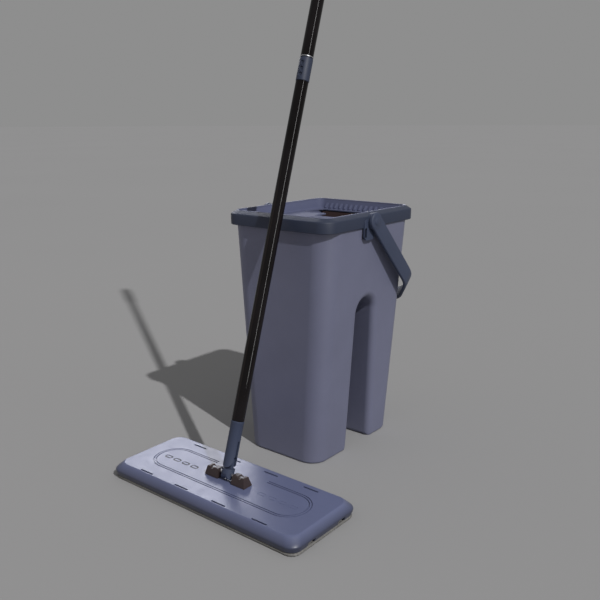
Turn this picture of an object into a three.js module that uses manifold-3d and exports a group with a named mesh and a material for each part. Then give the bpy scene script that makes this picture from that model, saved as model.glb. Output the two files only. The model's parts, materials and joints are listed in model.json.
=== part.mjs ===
// Flat mop standing beside its two-chamber wringer bucket.
//
// Millimetres, +Z up. The bucket stands on the floor; the mop stands in front of it (towards -Y)
// with its head parallel to X and its pole leaning back towards the bucket.
// Every mesh is one closed solid. Sub-parts that touch keep a gap of GAP between them.

import * as THREE from 'three';
import { mergeVertices } from 'three/addons/utils/BufferGeometryUtils.js';
import Module from 'manifold-3d';

const wasm = await Module();
wasm.setup();

// ---------------------------------------------------------------- driving dimensions

const GAP = 0.3; // between sub-parts that touch
const REACH = 400; // longer than anything it has to cut through
const CORNER_STEPS = 6; // segments in each rounded corner

const TUB = {
  base: { w: 132, d: 198, r: 26, y: -4 },
  top: { w: 182.6, d: 214.2, r: 30, y: 0 },
  height: 349,
  wall: 2.4,
  floor: 3,
  footRound: 4,
};
// The arch that parts the tub into a wash leg (-Y) and a dry leg (+Y).
const ARCH = { front: -24, backFoot: 34, backTop: 20, springLine: 213, flare: 8 };

const FRAME = { w: 187, d: 226, r: 22, low: 341, high: 360, trayTop: 346, trayThick: 3 };
const RECESS = { w: 161, d: 200, r: 14 };
const SLOT = { w: 134, near: 40, far: 84, notchW: 46, notchTo: 8, r: 9 };
const CHEEK = { thick: 3, low: 312, near: 46, far: 97, clear: 0.5 };
const RIB = { pitch: 9.5, count: 15, thick: 3, stand: 2.5, high: 355 };
// The plates under the rim that carry the bail, each with a drain slit near its front edge.
const EAR = {
  y: -17.5,
  w: 25,
  low: 323.5,
  high: 353,
  r: 7,
  stand: 1.4,
  slit: { y: -26.6, w: 5.2, low: 326.5, high: 341 },
};

const BAIL = {
  pivotY: -10,
  pivotZ: 349.5,
  hang: THREE.MathUtils.degToRad(44), // from straight down, towards +Y
  strapThick: 5,
  strapWidth: 24,
  inner: 97.1, // X of the arm's inner face
  armEnd: 136, // along the arm, where the corner starts
  barHalf: 66, // half the straight cross-bar
  barAt: 187.1, // along the arm, middle of the cross-bar
  bendReach: 18,
  hubR: 12.5,
  bossR: 11,
  pinR: 4,
  pinHeadR: 5.6,
  pinHeadHigh: 1.5,
};

const WRINGER = { pinY: 91, pinZ: 333, pinR: 2, flapHalf: 63, hubR: 4.2, springFrom: 50 };
// Profiles in (Y, Z), measured from the squeegee's hinge pin.
const FLAP_PROFILE = [[-1, -3], [2, -3.4], [-4.5, -17], [-8, -20], [-11, -18.5], [-8, -14.5]];
const LIP_SEAT_PROFILE = [[-12, -21.6], [-7.3, -17.2], [-8.7, -15.6], [-13.4, -20]];
const LIP_PROFILE = [[-7.8, -17.1], [-8.6, -16.2], [-16.4, -22.8], [-16.1, -24.2]];
// Measured from the near edge of the wash slot and the underside of the tray.
const WASH_LIP_PROFILE = [[1, -4.7], [-5.6, -9.1], [-7, -8.7], [-5, 0], [1, 0]];
const DRY_LIP = { half: 66, from: 0.3, thick: 1.7, low: 334 };
const SPRING = { turns: 4, coilR: 3.9, wireR: 0.6, run: 10, stepsPerTurn: 10 };
const STUD = { tipR: 1.6, footR: 3, high: 5, pitch: 11.5, perSide: 5, rows: [9, 21] };

const HEAD = {
  x: 22.3,
  y: -237.5,
  plateZ: 22,
  coverLow: 5,
  w: 331.6,
  d: 129.4,
  r: 15,
  wall: 2.4,
};
// How far the cover's skirt, and then the edge of its plate, stand in from its foot.
const SHOULDER = { skirt: 2.4, plate: 9.8, steps: 4 };
const PAD = { w: 334, d: 131, r: 16, high: 4.6 };
const BASE = { low: 6.6, high: 9.6, inset: 6, ribY: 40, ribHalf: 150, ribThick: 2.4 };
const HOOKS = { half: 148, y: 34, d: 30 };
const TUBE_SLOT = { w: 25, d: 2.4, r: 1.1, x: [-102.5, -34, 34, 102.5], y: [-53, 47.5] };
const TRACK = { halfLength: 134, halfWidth: 30, step: 3.5, groove: 1.4, deep: 1, gap: 46 };
const END_NOTCH = { y: 30, w: 14, deep: 6, high: 4 };
const BRACKET = { near: 12.5, far: 36, foot: 16.4, crest: 9, high: 13, pinAbove: 9.2, taper: 3 };
const SADDLE = { r: 4, above: 1.4 };
const SCREW = { x: 29, headR: 3.4, headHigh: 1.1, shankR: 1.05, up: 3 };
const PIN = { r: 2.5, bore: 2.6, rollHalf: 6.8 };
const KNUCKLE = {
  r: 8.6,
  low: -6.6,
  shoulder: 7.1,
  barrel: 7.6,
  rollAbove: 16.2,
  tongue: 5.4,
  tongueR: 5.6,
  notch: { foot: 2.6, tip: 0.6, to: -4 },
};

const POLE = {
  lean: THREE.MathUtils.degToRad(17.6), // towards the bucket
  r: 8.7,
  wall: 1,
  socketTop: 71, // these four are measured from the pitch pin, along the pole
  collarLow: 530,
  collarHigh: 562,
  top: 1150,
  spigot: 40,
};
const SOCKET = { barrel: 7.4, clevisTo: 7, slitHalf: 1.4, slitTo: 28 };
const COLLAR = { stand: 0.4, ring: 2.2, grips: [0.25, 0.5, 0.75], gripHalf: 3.3, gripHigh: 3.2 };
const GRIP = { long: 130, thick: 2.2, swell: 1.2, steps: 10 };
const CAP = { high: 28.5, plug: 25, holeR: 3.6, holeAt: 17 };
const CAP_PROFILE = [[11, 8], [9.6, 16], [7.6, 23], [4.8, 27]]; // [radius, above its foot]

// ---------------------------------------------------------------- finishes

const finish = (color, roughness, metalness = 0) =>
  new THREE.MeshStandardMaterial({ color, roughness, metalness });

const MAUVE = finish(0x6c6b7c, 0.45);
const SLATE = finish(0x3c4560, 0.42);
const LAVENDER = finish(0x7d7f9c, 0.35);
const DARK_PLASTIC = finish(0x4a4548, 0.5);
const RUBBER = finish(0x59382f, 0.8);
const STEEL = finish(0xb4b6ba, 0.3, 1);
const BLACK_TUBE = finish(0x17161a, 0.25, 0.6);
const MICROFIBRE = finish(0xa8a6a0, 0.95);
const HOOK_TAPE = finish(0x24262c, 0.9);

// ---------------------------------------------------------------- solids and cuts

function toSolid(geometry) {
  const bare = geometry.clone();
  bare.deleteAttribute('normal');
  bare.deleteAttribute('uv');
  const merged = mergeVertices(bare, 1e-4);
  const mesh = new wasm.Mesh({
    numProp: 3,
    vertProperties: Float32Array.from(merged.attributes.position.array),
    triVerts: Uint32Array.from(merged.index.array),
  });
  return new wasm.Manifold(mesh);
}

function toGeometry(solid) {
  const mesh = solid.getMesh();
  const geometry = new THREE.BufferGeometry();
  geometry.setAttribute('position', new THREE.BufferAttribute(mesh.vertProperties, 3));
  geometry.setIndex(new THREE.BufferAttribute(mesh.triVerts, 1));
  geometry.computeVertexNormals();
  return geometry;
}

const join = (first, ...others) =>
  toGeometry(others.reduce((solid, other) => solid.add(toSolid(other)), toSolid(first)));

const cut = (first, ...tools) =>
  toGeometry(tools.reduce((solid, tool) => solid.subtract(toSolid(tool)), toSolid(first)));

const common = (first, second) => toGeometry(toSolid(first).intersect(toSolid(second)));

// ---------------------------------------------------------------- basic shapes

function block([x0, x1], [y0, y1], [z0, z1]) {
  const geometry = new THREE.BoxGeometry(x1 - x0, y1 - y0, z1 - z0);
  return geometry.translate((x0 + x1) / 2, (y0 + y1) / 2, (z0 + z1) / 2);
}

// A round bar along 'x', 'y' or 'z' from `from` to `to`, through the point `at` of the other two.
function bar(axis, radius, from, to, [a, b], sides = 20) {
  const geometry = new THREE.CylinderGeometry(radius, radius, to - from, sides);
  const middle = (from + to) / 2;
  if (axis === 'x') return geometry.rotateZ(Math.PI / 2).translate(middle, a, b);
  if (axis === 'y') return geometry.translate(a, middle, b);
  return geometry.rotateX(Math.PI / 2).translate(a, b, middle);
}

// A profile drawn in (Y, Z), extruded along X.
function alongX(shape, x0, x1, curveSegments = 12) {
  const geometry = new THREE.ExtrudeGeometry(shape, {
    depth: x1 - x0,
    bevelEnabled: false,
    curveSegments,
  });
  const basis = new THREE.Matrix4().makeBasis(
    new THREE.Vector3(0, 1, 0),
    new THREE.Vector3(0, 0, 1),
    new THREE.Vector3(1, 0, 0),
  );
  return geometry.applyMatrix4(basis).translate(x0, 0, 0);
}

// A profile drawn in (X, Z), extruded both ways along Y.
function alongY(points, half) {
  const geometry = new THREE.ExtrudeGeometry(polygon(points), {
    depth: 2 * half,
    bevelEnabled: false,
  });
  return geometry.rotateX(Math.PI / 2).translate(0, half, 0);
}

const polygon = (points) => new THREE.Shape(points.map(([a, b]) => new THREE.Vector2(a, b)));

// Two distances from the middle plane as an ascending range of X on one side of it.
const onSide = (side, near, far) => [side * near, side * far].sort((a, b) => a - b);

// The points of a rounded rectangle, anticlockwise.
function roundedOutline({ w, d, r, x = 0, y = 0 }) {
  const corners = [[1, 1], [-1, 1], [-1, -1], [1, -1]];
  return corners.flatMap(([sx, sy], quarter) =>
    Array.from({ length: CORNER_STEPS + 1 }, (_, step) => {
      const angle = (quarter + step / CORNER_STEPS) * (Math.PI / 2);
      return new THREE.Vector2(
        x + sx * (w / 2 - r) + r * Math.cos(angle),
        y + sy * (d / 2 - r) + r * Math.sin(angle),
      );
    }),
  );
}

// A closed solid through rounded rectangles { z, w, d, r } stacked from low to high.
function loft(sections) {
  const rings = sections.map(roundedOutline);
  const size = rings[0].length;
  const positions = rings.flatMap((ring, level) =>
    ring.flatMap((point) => [point.x, point.y, sections[level].z]),
  );
  const index = [];
  for (let level = 0; level < rings.length - 1; level += 1) {
    for (let i = 0; i < size; i += 1) {
      const a = level * size + i;
      const b = level * size + ((i + 1) % size);
      index.push(a, b, b + size, a, b + size, a + size);
    }
  }
  const last = (rings.length - 1) * size;
  for (let i = 1; i < size - 1; i += 1) {
    index.push(0, i + 1, i);
    index.push(last, last + i, last + i + 1);
  }
  const geometry = new THREE.BufferGeometry();
  geometry.setAttribute('position', new THREE.Float32BufferAttribute(positions, 3));
  geometry.setIndex(index);
  geometry.computeVertexNormals();
  return geometry;
}

const prism = (outline, low, high) => loft([{ ...outline, z: low }, { ...outline, z: high }]);

// A tube or turned piece along Z: the closed profile is a list of [radius, z].
const turned = (profile, sides = 24) =>
  new THREE.LatheGeometry(profile.map(([r, z]) => new THREE.Vector2(r, z)), sides)
    .rotateX(Math.PI / 2);

const ringProfile = (inner, outer, low, high) =>
  [[inner, low], [outer, low], [outer, high], [inner, high], [inner, low]];

function piece(name, geometry, material, parent) {
  const mesh = new THREE.Mesh(geometry, material);
  mesh.name = name;
  parent.add(mesh);
  return mesh;
}

function subGroup(parent, x, y, z) {
  const group = new THREE.Group();
  group.position.set(x, y, z);
  parent.add(group);
  return group;
}

// ---------------------------------------------------------------- bucket tub

function tubSection(z, inset) {
  const t = z / TUB.height;
  const mix = (key) => THREE.MathUtils.lerp(TUB.base[key], TUB.top[key], t);
  return {
    z,
    w: mix('w') - 2 * inset,
    d: mix('d') - 2 * inset,
    r: mix('r') - inset,
    y: mix('y'),
  };
}

// The arch profile in (Y, Z); `grow` moves its faces into the chambers on both sides.
function archProfile(grow) {
  const front = ARCH.front - grow;
  const foot = ARCH.backFoot + grow;
  const top = ARCH.backTop + grow;
  const flare = ARCH.flare - grow;
  const frontFlareY = ARCH.front - ARCH.flare;
  const backFlareY = ARCH.backFoot + ARCH.flare;
  const shape = new THREE.Shape();
  shape.moveTo(frontFlareY, -REACH);
  shape.absarc(frontFlareY, ARCH.flare, flare, -Math.PI / 2, 0, false);
  shape.absarc((front + top) / 2, ARCH.springLine, (top - front) / 2, Math.PI, 0, true);
  shape.lineTo(foot, ARCH.flare);
  shape.absarc(backFlareY, ARCH.flare, flare, Math.PI, 1.5 * Math.PI, false);
  shape.lineTo(backFlareY, -REACH);
  return shape;
}

function tub() {
  const steps = [0, 1, 2, 3, 4].map((step) => (step / 4) * (Math.PI / 2));
  const foot = steps.map((a) =>
    tubSection(TUB.footRound * (1 - Math.cos(a)), TUB.footRound * (1 - Math.sin(a))));
  const outside = loft([...foot, tubSection(TUB.height, 0)]);
  const inside = loft([
    tubSection(TUB.floor, TUB.wall + 4),
    tubSection(TUB.floor + 4, TUB.wall),
    tubSection(TUB.height + 2, TUB.wall),
  ]);
  const chambers = cut(inside, alongX(archProfile(TUB.wall), -REACH, REACH, 8));
  return cut(outside, alongX(archProfile(0), -REACH, REACH, 8), chambers);
}

// ---------------------------------------------------------------- top frame of the bucket

function insertSlots(side) {
  const middle = side * (SLOT.near + SLOT.far) / 2;
  const main = { w: SLOT.w, d: SLOT.far - SLOT.near, r: SLOT.r, y: middle };
  const notchFar = SLOT.near + SLOT.r;
  const notch = {
    w: SLOT.notchW,
    d: notchFar - SLOT.notchTo,
    r: SLOT.r,
    y: side * (SLOT.notchTo + notchFar) / 2,
  };
  return [main, notch];
}

function cheeks(side) {
  const [low, high] = [CHEEK.near, CHEEK.far].map((y) => side * y).sort((a, b) => a - b);
  return [-1, 1].map((end) => {
    const near = SLOT.w / 2 + CHEEK.clear;
    return block(onSide(end, near, near + CHEEK.thick), [low, high],
      [CHEEK.low, FRAME.trayTop - 1]);
  });
}

function ribs() {
  const wall = RECESS.d / 2;
  const first = (-RIB.pitch * (RIB.count - 1)) / 2;
  return Array.from({ length: RIB.count }, (_, i) => {
    const x = first + i * RIB.pitch;
    return block([x - RIB.thick / 2, x + RIB.thick / 2], [wall - RIB.stand, wall + 1],
      [FRAME.trayTop - 1, RIB.high]);
  });
}

// The ear under the rim band that carries the bail's pivot boss.
function ear(side) {
  const [x0, x1] = onSide(side, TUB.top.w / 2 + 3 * GAP, FRAME.w / 2 + EAR.stand);
  const plate = prism({ w: EAR.w, d: EAR.high - EAR.low, r: EAR.r }, 0, x1 - x0);
  plate.applyMatrix4(new THREE.Matrix4().makeBasis(
    new THREE.Vector3(0, 1, 0),
    new THREE.Vector3(0, 0, 1),
    new THREE.Vector3(1, 0, 0),
  ));
  plate.translate(x0, EAR.y, (EAR.low + EAR.high) / 2);
  const { slit: { y, w, low, high } } = EAR;
  const slit = block([x0 - 1, x1 + 1], [y - w / 2, y + w / 2], [low, high]);
  const boss = bar('x', BAIL.bossR, ...onSide(side, FRAME.w / 2 - 1, BAIL.inner - GAP),
    [BAIL.pivotY, BAIL.pivotZ], 24);
  return { plate, slit, boss };
}

function topFrame() {
  const body = loft([
    { z: FRAME.low, w: FRAME.w - 1, d: FRAME.d - 1, r: FRAME.r },
    { z: FRAME.high - 3, w: FRAME.w, d: FRAME.d, r: FRAME.r },
    { z: FRAME.high - 0.8, w: FRAME.w - 1.6, d: FRAME.d - 1.6, r: FRAME.r - 0.8 },
    { z: FRAME.high, w: FRAME.w - 5, d: FRAME.d - 5, r: FRAME.r - 2.5 },
  ]);
  const recess = loft([
    { ...RECESS, z: FRAME.trayTop },
    { z: FRAME.high - 1.5, w: RECESS.w + 2, d: RECESS.d + 2, r: RECESS.r },
    { z: FRAME.high + 1, w: RECESS.w + 6, d: RECESS.d + 6, r: RECESS.r },
  ]);
  const under = prism({ w: RECESS.w, d: RECESS.d, r: RECESS.r }, FRAME.low - 1,
    FRAME.trayTop - FRAME.trayThick);
  const clear = 2 * GAP;
  const lip = { w: TUB.top.w + clear, d: TUB.top.d + clear, r: TUB.top.r };
  const core = {
    w: TUB.top.w - 2 * TUB.wall - 2,
    d: TUB.top.d - 2 * TUB.wall - 2,
    r: TUB.top.r - TUB.wall,
  };
  const channel = cut(
    prism(lip, FRAME.low - 1, TUB.height + GAP),
    prism(core, FRAME.low - 2, TUB.height + 2),
  );
  const ears = [-1, 1].map(ear);
  const hollowed = cut(body, recess, under, channel);
  const built = join(
    hollowed,
    ...ribs(),
    ...cheeks(-1),
    ...cheeks(1),
    ...ears.flatMap(({ plate, boss }) => [plate, boss]),
  );
  const pivotHoles = [-1, 1].map((side) =>
    bar('x', BAIL.pinR + 0.1, ...onSide(side, FRAME.w / 2 - 1, BAIL.inner + 1),
      [BAIL.pivotY, BAIL.pivotZ], 24));
  const slots = [-1, 1].flatMap(insertSlots)
    .map((outline) => prism(outline, FRAME.low - 4, FRAME.high));
  const hingeBore = bar('x', WRINGER.pinR + 0.1, -REACH / 4, REACH / 4,
    [WRINGER.pinY, WRINGER.pinZ], 16);
  return cut(built, ...ears.map(({ slit }) => slit), ...pivotHoles, ...slots, hingeBore,
    block([-SLOT.w / 2, SLOT.w / 2], [-CHEEK.far, CHEEK.far], [CHEEK.low - 1, FRAME.low - 2]));
}

// ---------------------------------------------------------------- bail handle

// The points `distance` to the left of a polyline, with mitred corners.
function offsetLine(points, distance) {
  return points.map((point, i) => {
    const before = points[Math.max(i - 1, 0)];
    const after = points[Math.min(i + 1, points.length - 1)];
    const inDir = (i > 0 ? point.clone().sub(before) : after.clone().sub(point)).normalize();
    const outDir = (i < points.length - 1 ? after.clone().sub(point) : inDir.clone()).normalize();
    const miter = inDir.clone().add(outDir).normalize();
    const length = distance / miter.dot(inDir);
    return new THREE.Vector2(point.x - miter.y * length, point.y + miter.x * length);
  });
}

// Straight runs joined by smooth bends that start `reach` before each corner.
function bendThrough(shape, points, reach) {
  points.forEach((corner, i) => {
    if (i === 0 || i === points.length - 1) {
      shape.lineTo(corner.x, corner.y);
      return;
    }
    const toward = (other) => corner.clone().add(other.clone().sub(corner).setLength(reach));
    const start = toward(points[i - 1]);
    const end = toward(points[i + 1]);
    shape.lineTo(start.x, start.y);
    shape.quadraticCurveTo(corner.x, corner.y, end.x, end.y);
  });
}

function bailHandle() {
  const arm = BAIL.inner + BAIL.strapThick / 2;
  const centre = [
    [arm, 0], [arm, BAIL.armEnd], [BAIL.barHalf, BAIL.barAt],
    [-BAIL.barHalf, BAIL.barAt], [-arm, BAIL.armEnd], [-arm, 0],
  ].map(([x, y]) => new THREE.Vector2(x, y));
  const outer = offsetLine(centre, -BAIL.strapThick / 2);
  const inner = offsetLine(centre, BAIL.strapThick / 2).reverse();
  const band = new THREE.Shape();
  band.moveTo(outer[0].x, outer[0].y);
  bendThrough(band, outer, BAIL.bendReach);
  bendThrough(band, inner, BAIL.bendReach - 2);
  const strap = new THREE.ExtrudeGeometry(band, {
    depth: BAIL.strapWidth,
    bevelEnabled: false,
    curveSegments: 8,
  });
  strap.translate(0, 0, -BAIL.strapWidth / 2);
  const hubs = [-1, 1].map((side) =>
    bar('x', BAIL.hubR, ...onSide(side, BAIL.inner, BAIL.inner + BAIL.strapThick), [0, 0], 28));
  const bores = bar('x', BAIL.pinR + 0.2, -REACH, REACH, [0, 0], 24);
  const handle = cut(join(strap, ...hubs), bores);
  const s = Math.sin(BAIL.hang);
  const c = Math.cos(BAIL.hang);
  handle.applyMatrix4(new THREE.Matrix4().makeBasis(
    new THREE.Vector3(1, 0, 0),
    new THREE.Vector3(0, s, -c),
    new THREE.Vector3(0, c, s),
  ));
  return handle.translate(0, BAIL.pivotY, BAIL.pivotZ);
}

function bailPin(side) {
  const shaftFrom = FRAME.w / 2 - 1 + GAP;
  const headFrom = BAIL.inner + BAIL.strapThick + GAP;
  const headTo = headFrom + BAIL.pinHeadHigh;
  const profile = [
    [0, shaftFrom], [BAIL.pinR, shaftFrom], [BAIL.pinR, headFrom], [BAIL.pinHeadR, headFrom],
    [BAIL.pinHeadR, (headFrom + headTo) / 2], [BAIL.pinR, headTo], [0, headTo],
  ];
  const pin = turned(profile, 24);
  pin.rotateY(side * Math.PI / 2);
  return pin.translate(0, BAIL.pivotY, BAIL.pivotZ);
}

// ---------------------------------------------------------------- wringer fittings

const fromPoint = (y, z, profile) => polygon(profile.map(([a, b]) => [y + a, z + b]));

const fromHingePin = (profile) => fromPoint(WRINGER.pinY, WRINGER.pinZ, profile);

// The sprung flap of the dry slot, hanging from its hinge pin with its edge towards the slot.
function squeegeeFlap() {
  const { pinY, pinZ, flapHalf, hubR, pinR, springFrom } = WRINGER;
  const plate = alongX(fromHingePin(FLAP_PROFILE), -flapHalf, flapHalf);
  const barrel = bar('x', hubR, -springFrom + 1, springFrom - 1, [pinY, pinZ], 18);
  const lipSeat = alongX(fromHingePin(LIP_SEAT_PROFILE), -flapHalf - 1, flapHalf + 1);
  const springRooms = [-1, 1].map((side) =>
    bar('x', hubR + 3, ...onSide(side, springFrom - 1, flapHalf + 1), [pinY, pinZ], 18));
  const bore = bar('x', pinR + 0.1, -REACH, REACH, [pinY, pinZ], 16);
  return cut(join(plate, barrel), lipSeat, ...springRooms, bore);
}

function squeegeeLip() {
  const half = WRINGER.flapHalf - 1;
  return alongX(fromHingePin(LIP_PROFILE), -half, half);
}

// The fixed rubber lip along the far edge of the dry slot, in front of the squeegee's hinge.
function dryLip() {
  const near = SLOT.far + DRY_LIP.from;
  return block([-DRY_LIP.half, DRY_LIP.half], [near, near + DRY_LIP.thick],
    [DRY_LIP.low, FRAME.trayTop - FRAME.trayThick - GAP]);
}

function torsionSpring(side) {
  const { pinY, pinZ, springFrom } = WRINGER;
  const { turns, coilR, wireR, run, stepsPerTurn } = SPRING;
  const start = springFrom + 1.5;
  const points = [];
  const steps = turns * stepsPerTurn;
  points.push(new THREE.Vector3(start, pinY + coilR + 0.2, pinZ - 9));
  for (let i = 0; i <= steps; i += 1) {
    const angle = (i / stepsPerTurn) * 2 * Math.PI;
    points.push(new THREE.Vector3(
      start + (run * i) / steps,
      pinY + coilR * Math.cos(angle),
      pinZ + coilR * Math.sin(angle),
    ));
  }
  points.push(new THREE.Vector3(start + run, pinY + coilR, pinZ + 6));
  const path = new THREE.CatmullRomCurve3(points, false, 'centripetal');
  const section = new THREE.Shape().absarc(0, 0, wireR, 0, 2 * Math.PI, false);
  const geometry = new THREE.ExtrudeGeometry(section, {
    steps: 46,
    extrudePath: path,
    bevelEnabled: false,
    curveSegments: 3,
  });
  return side > 0 ? geometry : mirrorX(geometry);
}

function mirrorX(geometry) {
  const copy = geometry.index ? geometry.toNonIndexed() : geometry.clone();
  copy.scale(-1, 1, 1);
  const position = copy.attributes.position;
  for (let i = 0; i < position.count; i += 3) {
    const second = [position.getX(i + 1), position.getY(i + 1), position.getZ(i + 1)];
    position.setXYZ(i + 1, position.getX(i + 2), position.getY(i + 2), position.getZ(i + 2));
    position.setXYZ(i + 2, ...second);
  }
  copy.computeVertexNormals();
  return copy;
}

// The fixed scrubbing plate of the wash slot: a board with two rows of blunt studs.
function scrubPlate() {
  const face = -(SLOT.far + 5);
  const board = block([-SLOT.w / 2 + 1, SLOT.w / 2 - 1], [face - 3, face],
    [CHEEK.low + 2, FRAME.trayTop - FRAME.trayThick - GAP]);
  const studs = [];
  for (const row of STUD.rows) {
    for (let i = -STUD.perSide; i <= STUD.perSide; i += 1) {
      const stud = new THREE.CylinderGeometry(STUD.tipR, STUD.footR, STUD.high, 8);
      studs.push(stud.translate(i * STUD.pitch, face + STUD.high / 2 - GAP, CHEEK.low + row));
    }
  }
  return join(board, ...studs);
}

function washLip() {
  const underTray = FRAME.trayTop - FRAME.trayThick - GAP;
  return alongX(fromPoint(-SLOT.near, underTray, WASH_LIP_PROFILE),
    SLOT.notchW / 2 + 4, SLOT.w / 2 - 1);
}

// ---------------------------------------------------------------- mop head

function coverSection(z, inset) {
  return { z, w: HEAD.w - 2 * inset, d: HEAD.d - 2 * inset, r: HEAD.r };
}

// The cover's long and short sides: nearly upright skirt, then a rounded shoulder to the plate.
function coverSections(shrink) {
  const low = HEAD.coverLow;
  const rise = HEAD.plateZ - low;
  const { skirt, plate, steps } = SHOULDER;
  const rings = [coverSection(low, shrink), coverSection(low + rise / 2, skirt + shrink)];
  for (let step = 1; step <= steps; step += 1) {
    const a = (step / steps) * (Math.PI / 2);
    const z = low + (rise / 2) * (1 + Math.sin(a));
    rings.push(coverSection(z, skirt + (plate - skirt) * (1 - Math.cos(a)) + shrink));
  }
  return rings;
}

function tubeSlots() {
  const { w, d, r } = TUBE_SLOT;
  return TUBE_SLOT.x.flatMap((x) => TUBE_SLOT.y.map((y) =>
    prism({ w, d, r, x, y }, HEAD.plateZ - 6, HEAD.plateZ + 4)));
}

// A shallow racetrack groove in the plate, parted at the middle where the brackets stand.
function racetrack(line) {
  const outline = (grow) => ({
    w: 2 * (TRACK.halfLength - line * TRACK.step + grow),
    d: 2 * (TRACK.halfWidth - line * TRACK.step + grow),
    r: TRACK.halfWidth - line * TRACK.step + grow - 0.01,
  });
  const ring = cut(
    prism(outline(TRACK.groove / 2), HEAD.plateZ - TRACK.deep, HEAD.plateZ + 2),
    prism(outline(-TRACK.groove / 2), HEAD.plateZ - 2 * TRACK.deep, HEAD.plateZ + 3),
  );
  return cut(ring, block([-TRACK.gap, TRACK.gap], [-BRACKET.crest, REACH], [0, REACH]));
}

function headCover() {
  const outside = loft(coverSections(0));
  const inside = loft(coverSections(HEAD.wall).map((section, i) => ({
    ...section,
    z: i === 0 ? HEAD.coverLow - 1 : section.z - HEAD.wall,
  })));
  const endNotches = [-1, 1].flatMap((side) => {
    const [low, high] = onSide(side, END_NOTCH.y - END_NOTCH.w / 2, END_NOTCH.y + END_NOTCH.w / 2);
    return [-1, 1].map((end) =>
      block(onSide(end, HEAD.w / 2 - END_NOTCH.deep, HEAD.w / 2 + 2), [low, high],
        [HEAD.coverLow - 1, HEAD.coverLow + END_NOTCH.high]));
  });
  const screwHoles = bracketScrewSpots()
    .map(([x, y]) => bar('z', SCREW.shankR + 0.6, HEAD.plateZ - 8, HEAD.plateZ + 1, [x, y], 12));
  return cut(outside, inside, ...tubeSlots(), racetrack(0), racetrack(1), ...endNotches,
    ...screwHoles);
}

function headBase() {
  const outline = { w: HEAD.w - 2 * BASE.inset, d: HEAD.d - 2 * BASE.inset, r: HEAD.r - 4 };
  const plate = prism(outline, BASE.low, BASE.high);
  const stiffeners = [-1, 1].map((side) =>
    block([-BASE.ribHalf, BASE.ribHalf],
      [side * BASE.ribY - BASE.ribThick / 2, side * BASE.ribY + BASE.ribThick / 2],
      [BASE.high - 1, HEAD.plateZ - 3]));
  const holes = bracketScrewSpots()
    .map(([x, y]) => bar('z', SCREW.shankR + 0.85, BASE.low - 1, BASE.high + 1, [x, y], 12));
  return cut(join(plate, ...stiffeners), ...holes);
}

function hookStrip(side) {
  const y = side * HOOKS.y;
  return block([-HOOKS.half, HOOKS.half], [y - HOOKS.d / 2, y + HOOKS.d / 2],
    [PAD.high + GAP, BASE.low - GAP]);
}

function mopPad() {
  return loft([
    { z: 0, w: PAD.w - 3, d: PAD.d - 3, r: PAD.r - 1 },
    { z: 1.5, w: PAD.w, d: PAD.d, r: PAD.r },
    { z: PAD.high - 1.2, w: PAD.w, d: PAD.d, r: PAD.r },
    { z: PAD.high, w: PAD.w - 2, d: PAD.d - 2, r: PAD.r - 1 },
  ]);
}

// ---------------------------------------------------------------- universal joint

const bracketScrewSpots = () => [-1, 1].map((side) => [side * SCREW.x, 0]);

function bracket(side) {
  const { near, far, foot, crest, high, pinAbove, taper } = BRACKET;
  const base = HEAD.plateZ + GAP;
  const top = HEAD.plateZ + high;
  const wedge = alongX(polygon([
    [-foot / 2, base], [foot / 2, base], [crest / 2, top], [-crest / 2, top],
  ]), near, far);
  const ends = alongY([
    [near, base - 1], [far, base - 1], [far, base], [far - taper, top], [near + 1, top],
    [near, top - taper],
  ], REACH / 2);
  const saddle = bar('y', SADDLE.r, -REACH / 4, REACH / 4,
    [(near + far) / 2 + 1, top + SADDLE.above], 14);
  const bore = bar('x', PIN.bore, near - 1, pitchPinHalf() + 0.5, [0, HEAD.plateZ + pinAbove], 16);
  const screwHole = bar('z', SCREW.shankR + 0.15, base - 1, base + SCREW.up + 0.4,
    [SCREW.x, 0], 12);
  const shape = cut(common(wedge, ends), saddle, bore, screwHole);
  return side > 0 ? shape : mirrorX(shape);
}

const pitchPinHalf = () => BRACKET.far - 6.5;

function bracketScrew(side) {
  const { x, headR, headHigh, shankR, up } = SCREW;
  const headTop = BASE.low - GAP;
  return turned([
    [0, headTop - headHigh], [headR, headTop - headHigh], [headR, headTop], [shankR, headTop],
    [shankR, HEAD.plateZ + up], [0, HEAD.plateZ + up + 0.4],
  ], 14).translate(side * x, 0, 0);
}

// In the joint's own frame: origin on the pitch pin, Z along the pole.
function knuckle() {
  const { r, low, shoulder, barrel, rollAbove, tongue, tongueR, notch } = KNUCKLE;
  const body = bar('z', r, low, shoulder, [0, 0], 28);
  const roundBottom = join(
    bar('x', barrel, -REACH / 4, REACH / 4, [0, 0], 32),
    block([-REACH, REACH], [-REACH, REACH], [0, REACH]),
  );
  const blade = join(
    block([-tongueR, tongueR], [-tongue / 2, tongue / 2], [shoulder - 2, rollAbove]),
    bar('y', tongueR, -tongue / 2, tongue / 2, [0, rollAbove], 24),
  );
  const vNotch = alongY([
    [-notch.foot, low - 1], [notch.foot, low - 1], [notch.tip, notch.to], [-notch.tip, notch.to],
  ], REACH / 4);
  const pitchBore = bar('x', PIN.bore, -REACH, REACH, [0, 0], 16);
  const rollBore = bar('y', PIN.bore, -REACH, REACH, [0, rollAbove], 16);
  const trimmed = common(body, roundBottom);
  return cut(join(trimmed, blade), vNotch, pitchBore, rollBore);
}

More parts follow.
